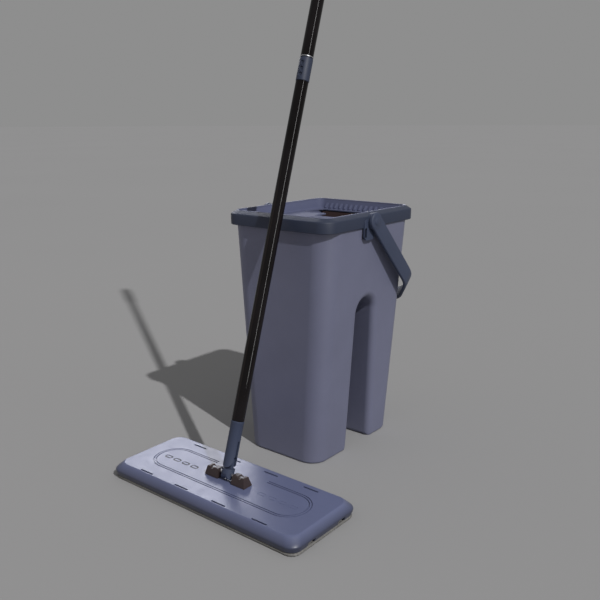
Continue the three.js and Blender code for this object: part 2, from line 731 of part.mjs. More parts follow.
// In the pole's frame: origin on the roll pin, Z along the pole.
function poleSocket() {
  const top = POLE.socketTop - KNUCKLE.rollAbove;
  const outer = join(
    bar('z', POLE.r, 0, top, [0, 0], 28),
    common(
      bar('z', POLE.r, -POLE.r, 1, [0, 0], 28),
      bar('y', SOCKET.barrel, -REACH / 4, REACH / 4, [0, 0], 28),
    ),
  );
  const spigot = bar('z', POLE.r - POLE.wall - GAP, top - 1, top + POLE.spigot, [0, 0], 24);
  const clevis = KNUCKLE.tongue / 2 + GAP;
  const slot = join(
    block([-REACH, REACH], [-clevis, clevis], [-REACH, SOCKET.clevisTo]),
    block([-REACH, REACH], [-SOCKET.slitHalf, SOCKET.slitHalf],
      [SOCKET.clevisTo - 1, SOCKET.slitTo]),
  );
  const rollBore = bar('y', PIN.bore, -REACH, REACH, [0, 0], 16);
  return cut(join(outer, spigot), slot, rollBore);
}

// ---------------------------------------------------------------- pole

function poleTube(low, high) {
  return turned(ringProfile(POLE.r - POLE.wall, POLE.r, low, high), 28);
}

function collar(low, high) {
  const inner = POLE.r - POLE.wall - GAP;
  const body = join(
    bar('z', POLE.r + COLLAR.stand, low + GAP, high - GAP, [0, 0], 28),
    bar('z', inner, low - POLE.spigot / 2, high + POLE.spigot / 2, [0, 0], 24),
  );
  const { grips: places, gripHalf, gripHigh } = COLLAR;
  const grips = places.map((t) => {
    const z = THREE.MathUtils.lerp(low, high, t);
    return block([-gripHalf, gripHalf], [-POLE.r - 2, -POLE.r + COLLAR.stand],
      [z - gripHigh / 2, z + gripHigh / 2]);
  });
  return cut(body, ...grips);
}

function collarRing(at) {
  return turned(ringProfile(POLE.r - POLE.wall, POLE.r + 0.5, at + GAP, at + COLLAR.ring), 28);
}

function gripSleeve(low, high) {
  const inner = POLE.r + GAP;
  const profile = Array.from({ length: GRIP.steps + 1 }, (_, i) => {
    const t = i / GRIP.steps;
    const thick = GRIP.thick + GRIP.swell * Math.sin(Math.PI * t);
    return [POLE.r + thick, THREE.MathUtils.lerp(low, high, t)];
  });
  return turned([[inner, low], ...profile, [inner, high], [inner, low]], 28);
}

function endCap(at) {
  const plug = bar('z', POLE.r - POLE.wall - GAP, at - CAP.plug, at + 1, [0, 0], 24);
  const dome = turned([
    [0, at + GAP],
    [CAP_PROFILE[0][0], at + GAP],
    ...CAP_PROFILE.map(([r, above]) => [r, at + above]),
    [0, at + CAP.high],
  ], 28);
  const hangHole = bar('x', CAP.holeR, -REACH / 4, REACH / 4, [0, at + CAP.holeAt], 20);
  return cut(join(dome, plug), hangHole);
}

// ---------------------------------------------------------------- assembly

function buildBucket(parent) {
  const bucket = subGroup(parent, 0, 0, 0);
  piece('bucket_tub', tub(), MAUVE, bucket);
  piece('top_frame', topFrame(), SLATE, bucket);
  piece('bail_handle', bailHandle(), SLATE, bucket);
  piece('bail_pin_left', bailPin(-1), SLATE, bucket);
  piece('bail_pin_right', bailPin(1), SLATE, bucket);
  piece('squeegee_flap', squeegeeFlap(), DARK_PLASTIC, bucket);
  piece('squeegee_lip', squeegeeLip(), RUBBER, bucket);
  const pinEnd = SLOT.w / 2 + CHEEK.thick;
  piece('squeegee_hinge_pin',
    bar('x', WRINGER.pinR, -pinEnd, pinEnd, [WRINGER.pinY, WRINGER.pinZ], 16), STEEL, bucket);
  piece('squeegee_spring_left', torsionSpring(-1), STEEL, bucket);
  piece('squeegee_spring_right', torsionSpring(1), STEEL, bucket);
  piece('dry_lip', dryLip(), RUBBER, bucket);
  piece('scrub_plate', scrubPlate(), DARK_PLASTIC, bucket);
  piece('wash_lip_right', washLip(), RUBBER, bucket);
  piece('wash_lip_left', mirrorX(washLip()), RUBBER, bucket);
}

function buildHead(parent) {
  const head = subGroup(parent, HEAD.x, HEAD.y, 0);
  piece('mop_pad', mopPad(), MICROFIBRE, head);
  piece('hook_strip_front', hookStrip(-1), HOOK_TAPE, head);
  piece('hook_strip_back', hookStrip(1), HOOK_TAPE, head);
  piece('head_base', headBase(), SLATE, head);
  piece('head_cover', headCover(), LAVENDER, head);
  piece('bracket_left', bracket(-1), DARK_PLASTIC, head);
  piece('bracket_right', bracket(1), DARK_PLASTIC, head);
  piece('bracket_screw_left', bracketScrew(-1), STEEL, head);
  piece('bracket_screw_right', bracketScrew(1), STEEL, head);
  return head;
}

function buildPole(head) {
  const joint = subGroup(head, 0, 0, HEAD.plateZ + BRACKET.pinAbove);
  joint.rotation.x = -POLE.lean;
  piece('pitch_pin', bar('x', PIN.r, -pitchPinHalf(), pitchPinHalf(), [0, 0], 16), STEEL, joint);
  piece('knuckle', knuckle(), SLATE, joint);

  const pole = subGroup(joint, 0, 0, KNUCKLE.rollAbove);
  const from = (distance) => distance - KNUCKLE.rollAbove;
  piece('roll_pin', bar('y', PIN.r, -PIN.rollHalf, PIN.rollHalf, [0, 0], 16), STEEL, pole);
  piece('pole_socket', poleSocket(), SLATE, pole);
  const collarLow = from(POLE.collarLow);
  const collarHigh = from(POLE.collarHigh);
  piece('lower_tube', poleTube(from(POLE.socketTop) + GAP, collarLow), BLACK_TUBE, pole);
  piece('collar', collar(collarLow, collarHigh), SLATE, pole);
  piece('collar_ring', collarRing(collarHigh), STEEL, pole);
  const upperLow = collarHigh + COLLAR.ring + GAP;
  const upperHigh = from(POLE.top) - CAP.high;
  piece('upper_tube', poleTube(upperLow, upperHigh), BLACK_TUBE, pole);
  piece('grip_sleeve', gripSleeve(upperHigh - GRIP.long, upperHigh), SLATE, pole);
  piece('end_cap', endCap(upperHigh), SLATE, pole);
}

// Moves the whole set so that its origin is the middle of its box, on the floor.
function standOnOrigin(assembly) {
  assembly.updateMatrixWorld(true);
  const box = new THREE.Box3().setFromObject(assembly, true);
  assembly.position.set(-(box.min.x + box.max.x) / 2, -(box.min.y + box.max.y) / 2, -box.min.z);
  assembly.updateMatrixWorld(true);
}

const assembly = new THREE.Group();
buildBucket(assembly);
buildPole(buildHead(assembly));
standOnOrigin(assembly);

export default assembly;
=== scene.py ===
"""Looks of the flat mop and its two-chamber wringer bucket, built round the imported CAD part.

Shapes are written in millimetres and turned into metres when they become Blender meshes.
Bucket pieces are drawn round the bucket's upright axis, head pieces round the middle of the
mop head, and pole pieces in the pole's own frame, whose Z runs up the pole.
"""

import json
from math import cos, pi, radians, sin, tan

import bmesh
import bpy
from mathutils import Matrix, Vector, noise


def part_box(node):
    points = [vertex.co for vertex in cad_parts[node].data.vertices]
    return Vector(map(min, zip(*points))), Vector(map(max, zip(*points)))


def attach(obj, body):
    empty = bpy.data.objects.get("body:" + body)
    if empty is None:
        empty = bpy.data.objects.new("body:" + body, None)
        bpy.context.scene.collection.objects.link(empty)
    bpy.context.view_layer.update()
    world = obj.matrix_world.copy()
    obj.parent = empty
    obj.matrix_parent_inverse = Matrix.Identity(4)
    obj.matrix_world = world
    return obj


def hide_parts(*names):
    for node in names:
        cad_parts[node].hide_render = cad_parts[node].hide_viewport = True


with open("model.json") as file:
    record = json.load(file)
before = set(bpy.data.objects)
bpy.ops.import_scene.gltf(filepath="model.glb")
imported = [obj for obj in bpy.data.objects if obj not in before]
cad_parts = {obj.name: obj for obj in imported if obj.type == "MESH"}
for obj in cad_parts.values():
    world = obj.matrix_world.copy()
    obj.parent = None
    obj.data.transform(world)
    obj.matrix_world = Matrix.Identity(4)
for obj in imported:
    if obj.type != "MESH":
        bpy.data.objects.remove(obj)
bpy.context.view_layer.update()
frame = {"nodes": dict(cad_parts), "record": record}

# ---------------------------------------------------------------- driving dimensions

MM = 0.001
REACH = 400.0  # longer than anything it has to cut through
CORNER_STEPS = 12

CAMERA = {
    "place": (0.63404, -0.78539, 0.48791),
    "towards": (-0.60845, 0.75668, -0.23921),
    "roll": -0.17,  # degrees
    "lens": 43.97,
    "sensor": 36.0,
}

TUB = {
    "base": (132.0, 198.0, 26.0, -4.0),  # width, depth, corner radius, middle
    "top": (182.6, 214.2, 30.0, 0.0),
    "height": 349.0,
    "wall": 2.4,
    "floor": 3.0,
    "foot": 4.0,
}
ARCH = {
    "front": -24.0,
    "back_foot": 34.0,
    "back_crown": 18.4,
    "crown": 235.0,
    "flare": 8.0,
    "crown_round": 21.0,
    "edge_round": 10.0,
}

RIM = {"size": (187.0, 226.0), "r": 22.0, "low": 341.0, "high": 360.0, "tray": 346.0}
RIM_BAND = 14.0  # from the rim's outside to the edge of the tray
SLOT = {"w": 134.0, "near": 40.0, "far": 84.0, "notch_w": 46.0, "notch_to": 8.0, "r": 9.0}
CHEEK = {"gap": 0.5, "thick": 3.0, "y": (46.0, 97.0), "low": 312.0}
RIB = {"pitch": 9.5, "count": 15, "thick": 4.2, "stand": 6.4, "rise": 8.6}
EAR = {"y": -17.5, "w": 25.0, "low": 323.5, "high": 353.0, "x0": 92.2, "x1": 94.9, "r": 7.0}
DRAIN_SLIT = {"y": -26.6, "w": 5.2, "low": 326.5, "high": 341.0}

BAIL = {
    "pivot": (-10.0, 349.5),
    "hang": radians(44.0),  # from straight down, towards +Y
    "thick": 5.0,
    "width": 24.0,
    "inner": 97.1,
    "arm_end": 136.0,
    "bar_half": 66.0,
    "bar_at": 187.1,
    "bend": 42.0,
    "hub": 12.5,
}
PALM_GRIP = {
    "half": 46.0,
    "swell": 0.45,
    "ridges_each_way": 5,
    "ridge_pitch": 7.5,
    "ridge_size": (2.2, 17.0, 2.8),  # depth, width across the strap, length along it
    "ridge_out": 3.6,
}

HEAD = {"w": 331.6, "d": 129.4, "r": 15.0, "low": 5.0, "plate": 22.0, "wall": 2.4}
SHOULDER = [(2.2, 5.0), (1.7, 5.6), (0.5, 10.2), (0.3, 11.6), (0.5, 12.8), (1.3, 14.0),
            (2.6, 15.6), (7.4, 20.6), (8.2, 21.3), (9.2, 21.9), (9.8, 22.0)]  # (inset, height)
TUBE_SLOT = {"w": 25.0, "d": 2.8, "r": 1.15, "x": (-102.5, -34.0, 34.0, 102.5),
             "y": (-53.0, 47.5)}
TRACK = {"length": 134.0, "half": 30.0, "step": 3.5, "groove": 1.5, "deep": 1.3, "gap": 46.0,
         "gap_from": -6.0}
MARK = {"w": 13.6, "d": 7.8, "line": 2.3, "first": 62.0, "pitch": 17.4, "count": 4, "y": -2.5,
        "deep": 0.8}

PAD = {
    "w": 334.0,
    "d": 131.0,
    "r": 16.0,
    "high": 4.6,
    "cloth_in": 4.4,  # from the pad's size to the edge of the cloth
    "hem_in": 4.7,  # from the pad's size to the middle of the hem
    "cloth": (1.1, 3.3),  # lowest and highest before the simulation
    "grid": (84, 34),
    "rows": (0.0, 22.0, 44.0),  # stitched rows, either side of the middle
}
HEM = {"r": (1.75, 1.85), "spacing": 1.1, "stitch": 3, "swell": 0.12, "wander": 0.12}
END_NOTCH = {"y": 30.0, "half": 7.0, "high": 5.0}

BRACKET = {
    "near": 12.5,
    "far": 36.0,
    "high": 13.0,
    "foot": 8.2,
    "crest": 4.5,
    "saddle_r": 4.0,
    "bore_r": 2.6,
    "pin_high": 9.2,
}
POLE = {
    "r": 8.7,
    "wall": 1.0,
    "roll_pin": 16.2,  # heights are measured from the pitch pin, along the pole
    "socket_top": 71.0,
    "collar": (530.0, 562.0),
    "top": 1150.0,
    "cap": 28.5,
    "sides": 72,
}
SOCKET = {"knuckle_r": 7.4, "tongue_half": 3.0, "tongue_up": 7.0, "slit": (2.8, 24.0, 1.3),
          "slit_up": 17.0, "sides": 64}
HOLLOW = {"at": (8.0, 16.0, 24.0), "r": (2.3, 3.6), "long": 4.0, "x": 1.4, "deep": 1.3}
GRIP = {"long": 130.0, "rings": 16, "steps": 6, "thick": 2.0, "swell": 1.2, "ripple": 0.28,
        "end": 1.4, "end_slope": 14}
CAP_PROFILE = [(0, 0.3), (10.6, 0.3), (11, 0.8), (11, 6.6), (10.8, 9), (10.2, 13), (9.2, 17.5),
               (7.8, 22), (6.0, 25.4), (4.0, 27.4), (2.0, 28.3), (0, 28.5)]  # (radius, height)
CAP_HOLE = {"r": 3.6, "up": 17.0}

SIDES = ((-1, "left"), (1, "right"))

STUDIO = {"floor": 60.0, "floor_sides": 96, "world": 0.27}  # radius in metres, count, radiance
KEY_LIGHT = {"power": 2.15, "angle": 1.1, "place": (1.33, -0.42, 1.36), "color": (1.0, 0.99, 0.98)}
SOFT_BOXES = [
    {"name": "back_left", "place": (-4.2, 3.9, 3.2), "target": (0.0, -0.1, 0.1),
     "size": (3.8, 1.7), "power": 158.0, "color": (0.89, 0.90, 1.0), "diffuse": False},
    {"name": "warm_fill", "place": (-1.6, -2.0, 0.9), "target": (0.0, 0.0, 0.25),
     "size": (1.2, 1.2), "power": 1.2, "color": (1.0, 0.70, 0.55), "diffuse": True},
    {"name": "strip", "place": (2.4, -0.8, 1.3), "target": (0.0, 0.0, 0.7),
     "size": (0.17, 2.6), "power": 25.0, "color": (1.0, 1.0, 1.0), "diffuse": False},
]

# ---------------------------------------------------------------- outlines


def outline(corners, grow=0.0, steps=CORNER_STEPS):
    """An anticlockwise polygon of (x, y, radius) corners as points, its sides moved out by grow."""
    points = []
    for i, (x, y, radius) in enumerate(corners):
        here = Vector((x, y))
        came = (here - Vector(corners[i - 1][:2])).normalized()
        goes = (Vector(corners[(i + 1) % len(corners)][:2]) - here).normalized()
        half = came.angle(goes) / 2
        side = 1 if came.cross(goes) > 0 else -1
        outward = Vector((came.y + goes.y, -came.x - goes.x)).normalized()
        tip = here + outward * (grow / cos(half))
        if radius == 0:
            points.append(tip)
            continue
        bend = max(radius + side * grow, 0.05)
        start = tip - came * (bend * tan(half))
        centre = start + Vector((-came.y, came.x)) * (side * bend)
        spoke = start - centre
        for step in range(steps + 1):
            turn = Matrix.Rotation(side * 2 * half * step / steps, 2)
            points.append(centre + turn @ spoke)
    return points


def rectangle(w, d, r, x=0.0, y=0.0):
    """Corners of a rectangle round (x, y) with all its corners rounded by r."""
    half_w, half_d = w / 2, d / 2
    return [(x - half_w, y - half_d, r), (x + half_w, y - half_d, r),
            (x + half_w, y + half_d, r), (x - half_w, y + half_d, r)]


def at_height(points, z):
    return [(p[0], p[1], z) for p in points]


def quarter_turn(steps):
    """Angles from 0 to 90 degrees in even steps."""
    return [radians(90.0 * step / steps) for step in range(steps + 1)]


def mirrored(span, side):
    """A (low, high) span as it is, or on the other side of zero where side is -1."""
    return tuple(sorted(side * value for value in span))


# ---------------------------------------------------------------- shapes: (vertices, faces)


def skin(rings, looped=False):
    """Joins rings of equally many points; open ends are capped."""
    size = len(rings[0])
    faces = []
    spans = len(rings) if looped else len(rings) - 1
    for level in range(spans):
        low = level * size
        high = ((level + 1) % len(rings)) * size
        for i in range(size):
            j = (i + 1) % size
            faces.append((low + i, low + j, high + j, high + i))
    if not looped:
        faces.append(tuple(reversed(range(size))))
        faces.append(tuple(range(spans * size, (spans + 1) * size)))
    return [tuple(p) for ring in rings for p in ring], faces


def loft(sections, grow=0.0):
    """Through (corners, z) sections."""
    return skin([at_height(outline(corners, grow), z) for corners, z in sections])


def prism(corners, low, high, grow=0.0):
    return loft([(corners, low), (corners, high)], grow)


def band(corners, profile):
    """A closed (grow, z) profile carried round an outline."""
    return skin([at_height(outline(corners, grow), z) for grow, z in profile], looped=True)


def along_x(corners, x0, x1, grow=0.0):
    """An outline drawn in (Y, Z), extruded along X."""
    return skin([[(x, p[0], p[1]) for p in outline(corners, grow)] for x in (x0, x1)])


def along_y(corners, y0, y1, grow=0.0):
    """An outline drawn in (X, Z), extruded along Y."""
    return skin([[(p[0], y, p[1]) for p in outline(corners, grow)] for y in (y0, y1)])


def block(x, y, z):
    """A box between the (low, high) spans x, y and z."""
    middle = ((x[0] + x[1]) / 2, (y[0] + y[1]) / 2)
    return prism(rectangle(x[1] - x[0], y[1] - y[0], 0, *middle), *z)


def turned(profile, sides=48, looped=False):
    """A (radius, z) profile turned about Z."""
    angles = [2 * pi * i / sides for i in range(sides)]
    return skin([[(max(r, 0.01) * cos(a), max(r, 0.01) * sin(a), z) for a in angles]
                 for r, z in profile], looped)


def swept(stations, section, looped=False):
    """A section of (a, b) points carried along stations of (point, a direction, b direction)."""
    return skin([[tuple(point + a_way * a + b_way * b) for a, b in section]
                 for point, a_way, b_way in stations], looped)


def moved(shape, matrix):
    vertices, faces = shape
    return [tuple(matrix @ Vector(v)) for v in vertices], faces


def shifted(shape, x=0.0, y=0.0, z=0.0):
    return moved(shape, Matrix.Translation((x, y, z)))


def turned_to(axis):
    """The turn that takes Z to 'x', '-x', 'y' or '-y'."""
    ways = {"x": (1, 0, 0), "-x": (-1, 0, 0), "y": (0, 1, 0), "-y": (0, -1, 0)}
    return Vector((0, 0, 1)).rotation_difference(Vector(ways[axis])).to_matrix().to_4x4()


def rod(r, low, high, axis, sides):
    """A round bar of radius r, from low to high along an axis."""
    return moved(turned([(r, low), (r, high)], sides), turned_to(axis))


def facing_out(shape, side):
    """A shape drawn up Z, turned to point away from the middle along X."""
    return moved(shape, turned_to("x" if side > 0 else "-x"))


def together(shapes):
    """Several shapes as one."""
    vertices, faces = [], []
    for some_vertices, some_faces in shapes:
        faces += [tuple(i + len(vertices) for i in face) for face in some_faces]
        vertices += some_vertices
    return vertices, faces


def new_object(name, shape, scale=1.0):
    """A linked Blender object of the shape, with its faces turned outwards."""
    mesh = bpy.data.meshes.new(name)
    mesh.from_pydata([Vector(v) * scale for v in shape[0]], [], shape[1])
    edit = bmesh.new()
    edit.from_mesh(mesh)
    bmesh.ops.recalc_face_normals(edit, faces=edit.faces)
    edit.to_mesh(mesh)
    edit.free()
    made = bpy.data.objects.new(name, mesh)
    bpy.context.scene.collection.objects.link(made)
    return made


def evaluated_shape(thing):
    """The shape of an object with its modifiers applied."""
    copy = thing.evaluated_get(bpy.context.evaluated_depsgraph_get())
    mesh = copy.to_mesh()
    shape = [tuple(v.co) for v in mesh.vertices], [tuple(p.vertices) for p in mesh.polygons]
    copy.to_mesh_clear()
    return shape


def combined(operation, shape, *others):
    """One shape combined with others by exact booleans."""
    target = new_object("target", shape)
    tools = [new_object("tool", other) for other in others]
    for tool in tools:
        step = target.modifiers.new("combine", "BOOLEAN")
        step.object = tool
        step.operation = operation
        step.solver = "EXACT"
    result = evaluated_shape(target)
    for thing in [target, *tools]:
        bpy.data.objects.remove(thing)
    return result


def carved(shape, *cutters):
    return combined("DIFFERENCE", shape, *cutters)


# ---------------------------------------------------------------- places


def middle_of(node):
    low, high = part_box(node)
    return (low + high) / 2 / MM


def upright_place(node):
    """Millimetres round a node's upright axis, with Z from the floor."""
    middle = middle_of(node)
    return Matrix.Translation((middle.x, middle.y, 0))


def pole_place():
    """Millimetres from the pitch pin, with Z up the pole."""
    pin = middle_of("pitch_pin")
    up = (middle_of("roll_pin") - pin).normalized()
    return Matrix.Translation(pin) @ Vector((0, 0, 1)).rotation_difference(up).to_matrix().to_4x4()


BUCKET_PLACE = upright_place("bucket_tub")
HEAD_PLACE = upright_place("mop_pad")
POLE_PLACE = pole_place()


def piece(name, shape, place, body, slot, material, stands_for=(), bevel=0.0, smooth=35.0,
          flat_faces=False):
    """A visible piece: shape in its place, riding on body, with its edges rounded by bevel.

    flat_faces keeps large flat faces flat in shading beside the rounded strips that meet them.
    """
    made = new_object(name, moved(shape, place), MM)
    made.data.shade_smooth()
    if bevel:
        edges = made.modifiers.new("rounded_edges", "BEVEL")
        edges.width = bevel * MM
        edges.segments = 3
        edges.limit_method = "ANGLE"
        edges.angle_limit = radians(smooth)
        edges.harden_normals = True
    else:
        made.data.set_sharp_from_angle(angle=radians(smooth))
    if flat_faces:
        weigh = made.modifiers.new("flat_faces", "WEIGHTED_NORMAL")
        weigh.mode = "FACE_AREA"
        weigh.weight = 100
        weigh.keep_sharp = True
    made.data.materials.append(material)
    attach(made, body)
    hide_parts(*stands_for)
    return made


# ---------------------------------------------------------------- materials


MIX_FACTOR, MIX_FIRST, MIX_SECOND, MIX_RESULT = 0, 6, 7, 2  # a Mix node's colour sockets


class Nodes:
    """Builds one material's node tree."""

    def __init__(self, name):
        self.material = bpy.data.materials.new(name)
        self.material.use_nodes = True
        self.tree = self.material.node_tree
        self.shader = self.tree.nodes["Principled BSDF"]
        self.place = self.tree.nodes.new("ShaderNodeTexCoord").outputs["Object"]

    def link(self, source, target):
        self.tree.links.new(source, target)

    def stretched(self, x, y, z):
        """Object coordinates multiplied by x, y and z."""
        node = self.tree.nodes.new("ShaderNodeMapping")
        self.link(self.place, node.inputs["Vector"])
        node.inputs["Scale"].default_value = (x, y, z)
        return node.outputs["Vector"]

    def noise(self, scale, detail=2.0, rough=0.5, where=None):
        node = self.tree.nodes.new("ShaderNodeTexNoise")
        node.inputs["Scale"].default_value = scale
        node.inputs["Detail"].default_value = detail
        node.inputs["Roughness"].default_value = rough
        self.link(where or self.place, node.inputs["Vector"])
        return node.outputs["Fac"]

    def cells(self, scale):
        node = self.tree.nodes.new("ShaderNodeTexVoronoi")
        node.inputs["Scale"].default_value = scale
        self.link(self.place, node.inputs["Vector"])
        return node.outputs["Distance"]

    def spread(self, source, low, high, start=0.0, end=1.0):
        """source's range start to end as numbers low to high."""
        node = self.tree.nodes.new("ShaderNodeMapRange")
        limits = {"From Min": start, "From Max": end, "To Min": low, "To Max": high}
        for key, value in limits.items():
            node.inputs[key].default_value = value
        self.link(source, node.inputs["Value"])
        return node.outputs["Result"]

    def mixed(self, factor, first, second):
        """From first to second, each a colour or a socket, as the socket factor goes up."""
        node = self.tree.nodes.new("ShaderNodeMix")
        node.data_type = "RGBA"
        self.link(factor, node.inputs[MIX_FACTOR])
        for index, value in ((MIX_FIRST, first), (MIX_SECOND, second)):
            if isinstance(value, tuple):
                node.inputs[index].default_value = (*value, 1.0)
            else:
                self.link(value, node.inputs[index])
        return node.outputs[MIX_RESULT]

    def bump(self, source, distance, under=None):
        """Relief of a height in metres, on top of the relief under it."""
        node = self.tree.nodes.new("ShaderNodeBump")
        node.inputs["Strength"].default_value = 1.0
        node.inputs["Distance"].default_value = distance
        self.link(source, node.inputs["Height"])
        if under:
            self.link(under, node.inputs["Normal"])
        return node.outputs["Normal"]

    def height(self):
        """Metres above the floor, in the resting pose."""
        node = self.tree.nodes.new("ShaderNodeSeparateXYZ")
        self.link(self.place, node.inputs["Vector"])
        return node.outputs["Z"]

    def set(self, **values):
        """Fixed shader inputs, by their names in lower case with underscores."""
        for socket in self.shader.inputs:
            key = socket.name.lower().replace(" ", "_")
            if key in values:
                socket.default_value = values[key]

    def finish(self, color, roughness, normal=None):
        """Connects the shader and returns the material."""
        for source, key in ((color, "Base Color"), (roughness, "Roughness"), (normal, "Normal")):
            if source:
                self.link(source, self.shader.inputs[key])
        return self.material


def tinted(color, factor):
    """A colour made lighter or darker."""
    return tuple(min(channel * factor, 1.0) for channel in color)


def plastic(name, color, rough, grain=0.00004, grain_scale=2600.0, streaks=0.0, shine=0.5,
            grime_and_shade=None):
    """Moulded plastic: cloudy colour, a fine eroded grain, scuffed roughness.

    The last argument gives the (low, high) height between which the painted shade near the floor
    fades out.
    """
    nodes = Nodes(name)
    cloud = nodes.spread(nodes.noise(9.0, 4.0, 0.6), 0.0, 1.0, 0.3, 0.7)
    base = nodes.mixed(cloud, tinted(color, 0.93), tinted(color, 1.06))
    speck = nodes.spread(nodes.noise(grain_scale, 1.0), 0.0, 0.22, 0.35, 0.75)
    base = nodes.mixed(speck, base, tinted(color, 1.35))
    scuff = nodes.noise(60.0, 6.0, 0.7, nodes.stretched(1.0, 1.0, 0.25))
    if streaks:
        base = nodes.mixed(nodes.spread(scuff, 0.0, streaks, 0.55, 0.8), base, tinted(color, 1.5))
    # Painted shade: the colour darkens towards the floor below the given heights.
    if grime_and_shade:
        shade_mask = nodes.spread(nodes.height(), 0.9, 0.0, *grime_and_shade)
        base = nodes.mixed(shade_mask, base, tinted(color, 0.25))
    roughness = nodes.spread(scuff, rough - 0.04, rough + 0.06, 0.3, 0.7)
    normal = nodes.bump(nodes.noise(grain_scale, 1.0), grain)
    nodes.set(specular_ior_level=shine)
    return nodes.finish(base, roughness, normal)


def black_tube():
    """Glossy black enamel with fine scratches along the tube."""
    nodes = Nodes("black_enamel")
    cloud = nodes.spread(nodes.noise(14.0, 3.0), 0.0, 1.0, 0.35, 0.65)
    base = nodes.mixed(cloud, (0.004, 0.003, 0.003), (0.009, 0.007, 0.008))
    scratches = nodes.noise(300.0, 3.0, 0.6, nodes.stretched(1.0, 1.0, 0.02))
    roughness = nodes.spread(scratches, 0.02, 0.05, 0.35, 0.7)
    nodes.set(specular_ior_level=0.22)
    normal = nodes.bump(nodes.noise(90.0, 2.0), 0.00003)
    return nodes.finish(base, roughness, normal)


def brushed_steel():
    """Bright steel with fine lines round it."""
    nodes = Nodes("brushed_steel")
    lines = nodes.noise(500.0, 4.0, 0.6, nodes.stretched(0.05, 1.0, 1.0))
    base = nodes.mixed(lines, (0.42, 0.43, 0.45), (0.62, 0.63, 0.65))
    roughness = nodes.spread(lines, 0.2, 0.4)
    nodes.set(metallic=1.0)
    return nodes.finish(base, roughness, nodes.bump(lines, 0.00002))


def rubber():
    """Dull reddish-brown rubber."""
    nodes = Nodes("wringer_rubber")
    cloud = nodes.noise(40.0, 4.0)
    base = nodes.mixed(cloud, (0.058, 0.032, 0.030), (0.090, 0.048, 0.044))
    roughness = nodes.spread(cloud, 0.6, 0.8)
    return nodes.finish(base, roughness, nodes.bump(nodes.noise(1800.0, 2.0), 0.00005))


def microfibre():
    """Looped cloth: tufts, single fibres and patches that have greyed with use."""
    nodes = Nodes("microfibre_cloth")
    tufts = nodes.cells(420.0)
    fibres = nodes.noise(2400.0, 4.0, 0.7)
    # Patches greyed with use: the cloth's own dirt.
    grime_and_shade = nodes.spread(nodes.noise(16.0, 4.0, 0.6), 0.0, 1.0, 0.35, 0.7)
    base = nodes.mixed(grime_and_shade, (0.24, 0.235, 0.225), (0.15, 0.147, 0.14))
    base = nodes.mixed(nodes.spread(tufts, 0.0, 0.6, 0.1, 0.8), base, (0.10, 0.097, 0.094))
    base = nodes.mixed(nodes.spread(fibres, 0.0, 0.3, 0.4, 0.7), base, (0.42, 0.41, 0.39))
    normal = nodes.bump(tufts, 0.0006, nodes.bump(fibres, 0.0002))
    return nodes.finish(base, nodes.spread(fibres, 0.85, 1.0), normal)


def hook_tape():
    """Dark tape with a tight field of hooks."""
    nodes = Nodes("hook_tape")
    hooks = nodes.cells(900.0)
    between = nodes.spread(hooks, 0.0, 1.0, 0.1, 0.7)
    base = nodes.mixed(between, (0.03, 0.033, 0.04), (0.008, 0.009, 0.011))
    return nodes.finish(base, nodes.spread(hooks, 0.7, 0.95), nodes.bump(hooks, 0.0004))


MAUVE = (0.158, 0.166, 0.250)
SLATE = (0.045, 0.058, 0.104)
# The rim's slate painted lighter, as if lit: the tray pieces and the rim's bead wear it.
LIT_SLATE = (0.110, 0.122, 0.205)
LAVENDER = (0.135, 0.155, 0.275)
UMBER = (0.042, 0.028, 0.028)
# Dark colour of the ring inlays, also used as painted shade behind the drain slits.
INK_AND_SHADE = (0.012, 0.013, 0.022)

TUB_PLASTIC = plastic("tub_plastic", MAUVE, 0.5, streaks=0.12)
FRAME_PLASTIC = plastic("frame_plastic", SLATE, 0.52, shine=0.4)
# A darker copy of the frame plastic: painted shade on the rim band and the collar.
SHADED_FRAME_PLASTIC = plastic("deep_frame_plastic", tinted(SLATE, 0.7), 0.52, shine=0.35)
# A lighter copy of the rim plastic: painted light on the recess, tray, slot lips, ribs and cheeks.
LIT_TRAY_PLASTIC = plastic("tray_plastic", LIT_SLATE, 0.68, shine=0.15)
# Glossy, and painted paler than the rim as a highlight line.
HIGHLIGHT_BEAD_PLASTIC = plastic("bead_plastic", LIT_SLATE, 0.3, shine=0.6)
# The cover's sides are painted darker towards the floor as shade.
COVER_PLASTIC = plastic("cover_plastic", LAVENDER, 0.34, grain=0.00003, streaks=0.1,
                        grime_and_shade=(0.0110, 0.0225))
DARK_PLASTIC = plastic("dark_plastic", UMBER, 0.42)
# Dark plastic for the ring inlays, and the painted shade behind the drain slits.
INLAY_AND_SHADE_PLASTIC = plastic("inlay_plastic", INK_AND_SHADE, 0.5)
RUBBER = rubber()
STEEL = brushed_steel()
ENAMEL = black_tube()
CLOTH = microfibre()
HOOKS = hook_tape()

SLOT_MATERIALS = {
    "tub_plastic": TUB_PLASTIC,
    "frame_plastic": FRAME_PLASTIC,
    "cover_plastic": COVER_PLASTIC,
    "dark_plastic": DARK_PLASTIC,
    "wringer_rubber": RUBBER,
    "steel": STEEL,
    "black_tube": ENAMEL,
    "microfibre": CLOTH,
    "hook_tape": HOOKS,
}

# ---------------------------------------------------------------- bucket tub


def tub_corners(z, inset):
    """The tapered tub's outline at a height, inset all round."""
    t = z / TUB["height"]
    w, d, r, y = (low + (high - low) * t for low, high in zip(TUB["base"], TUB["top"]))
    return rectangle(w - 2 * inset, d - 2 * inset, r - inset, 0, y)


def crown_corners():
    return [(ARCH["back_crown"], ARCH["crown"], ARCH["crown_round"]),
            (ARCH["front"], ARCH["crown"], ARCH["crown_round"])]


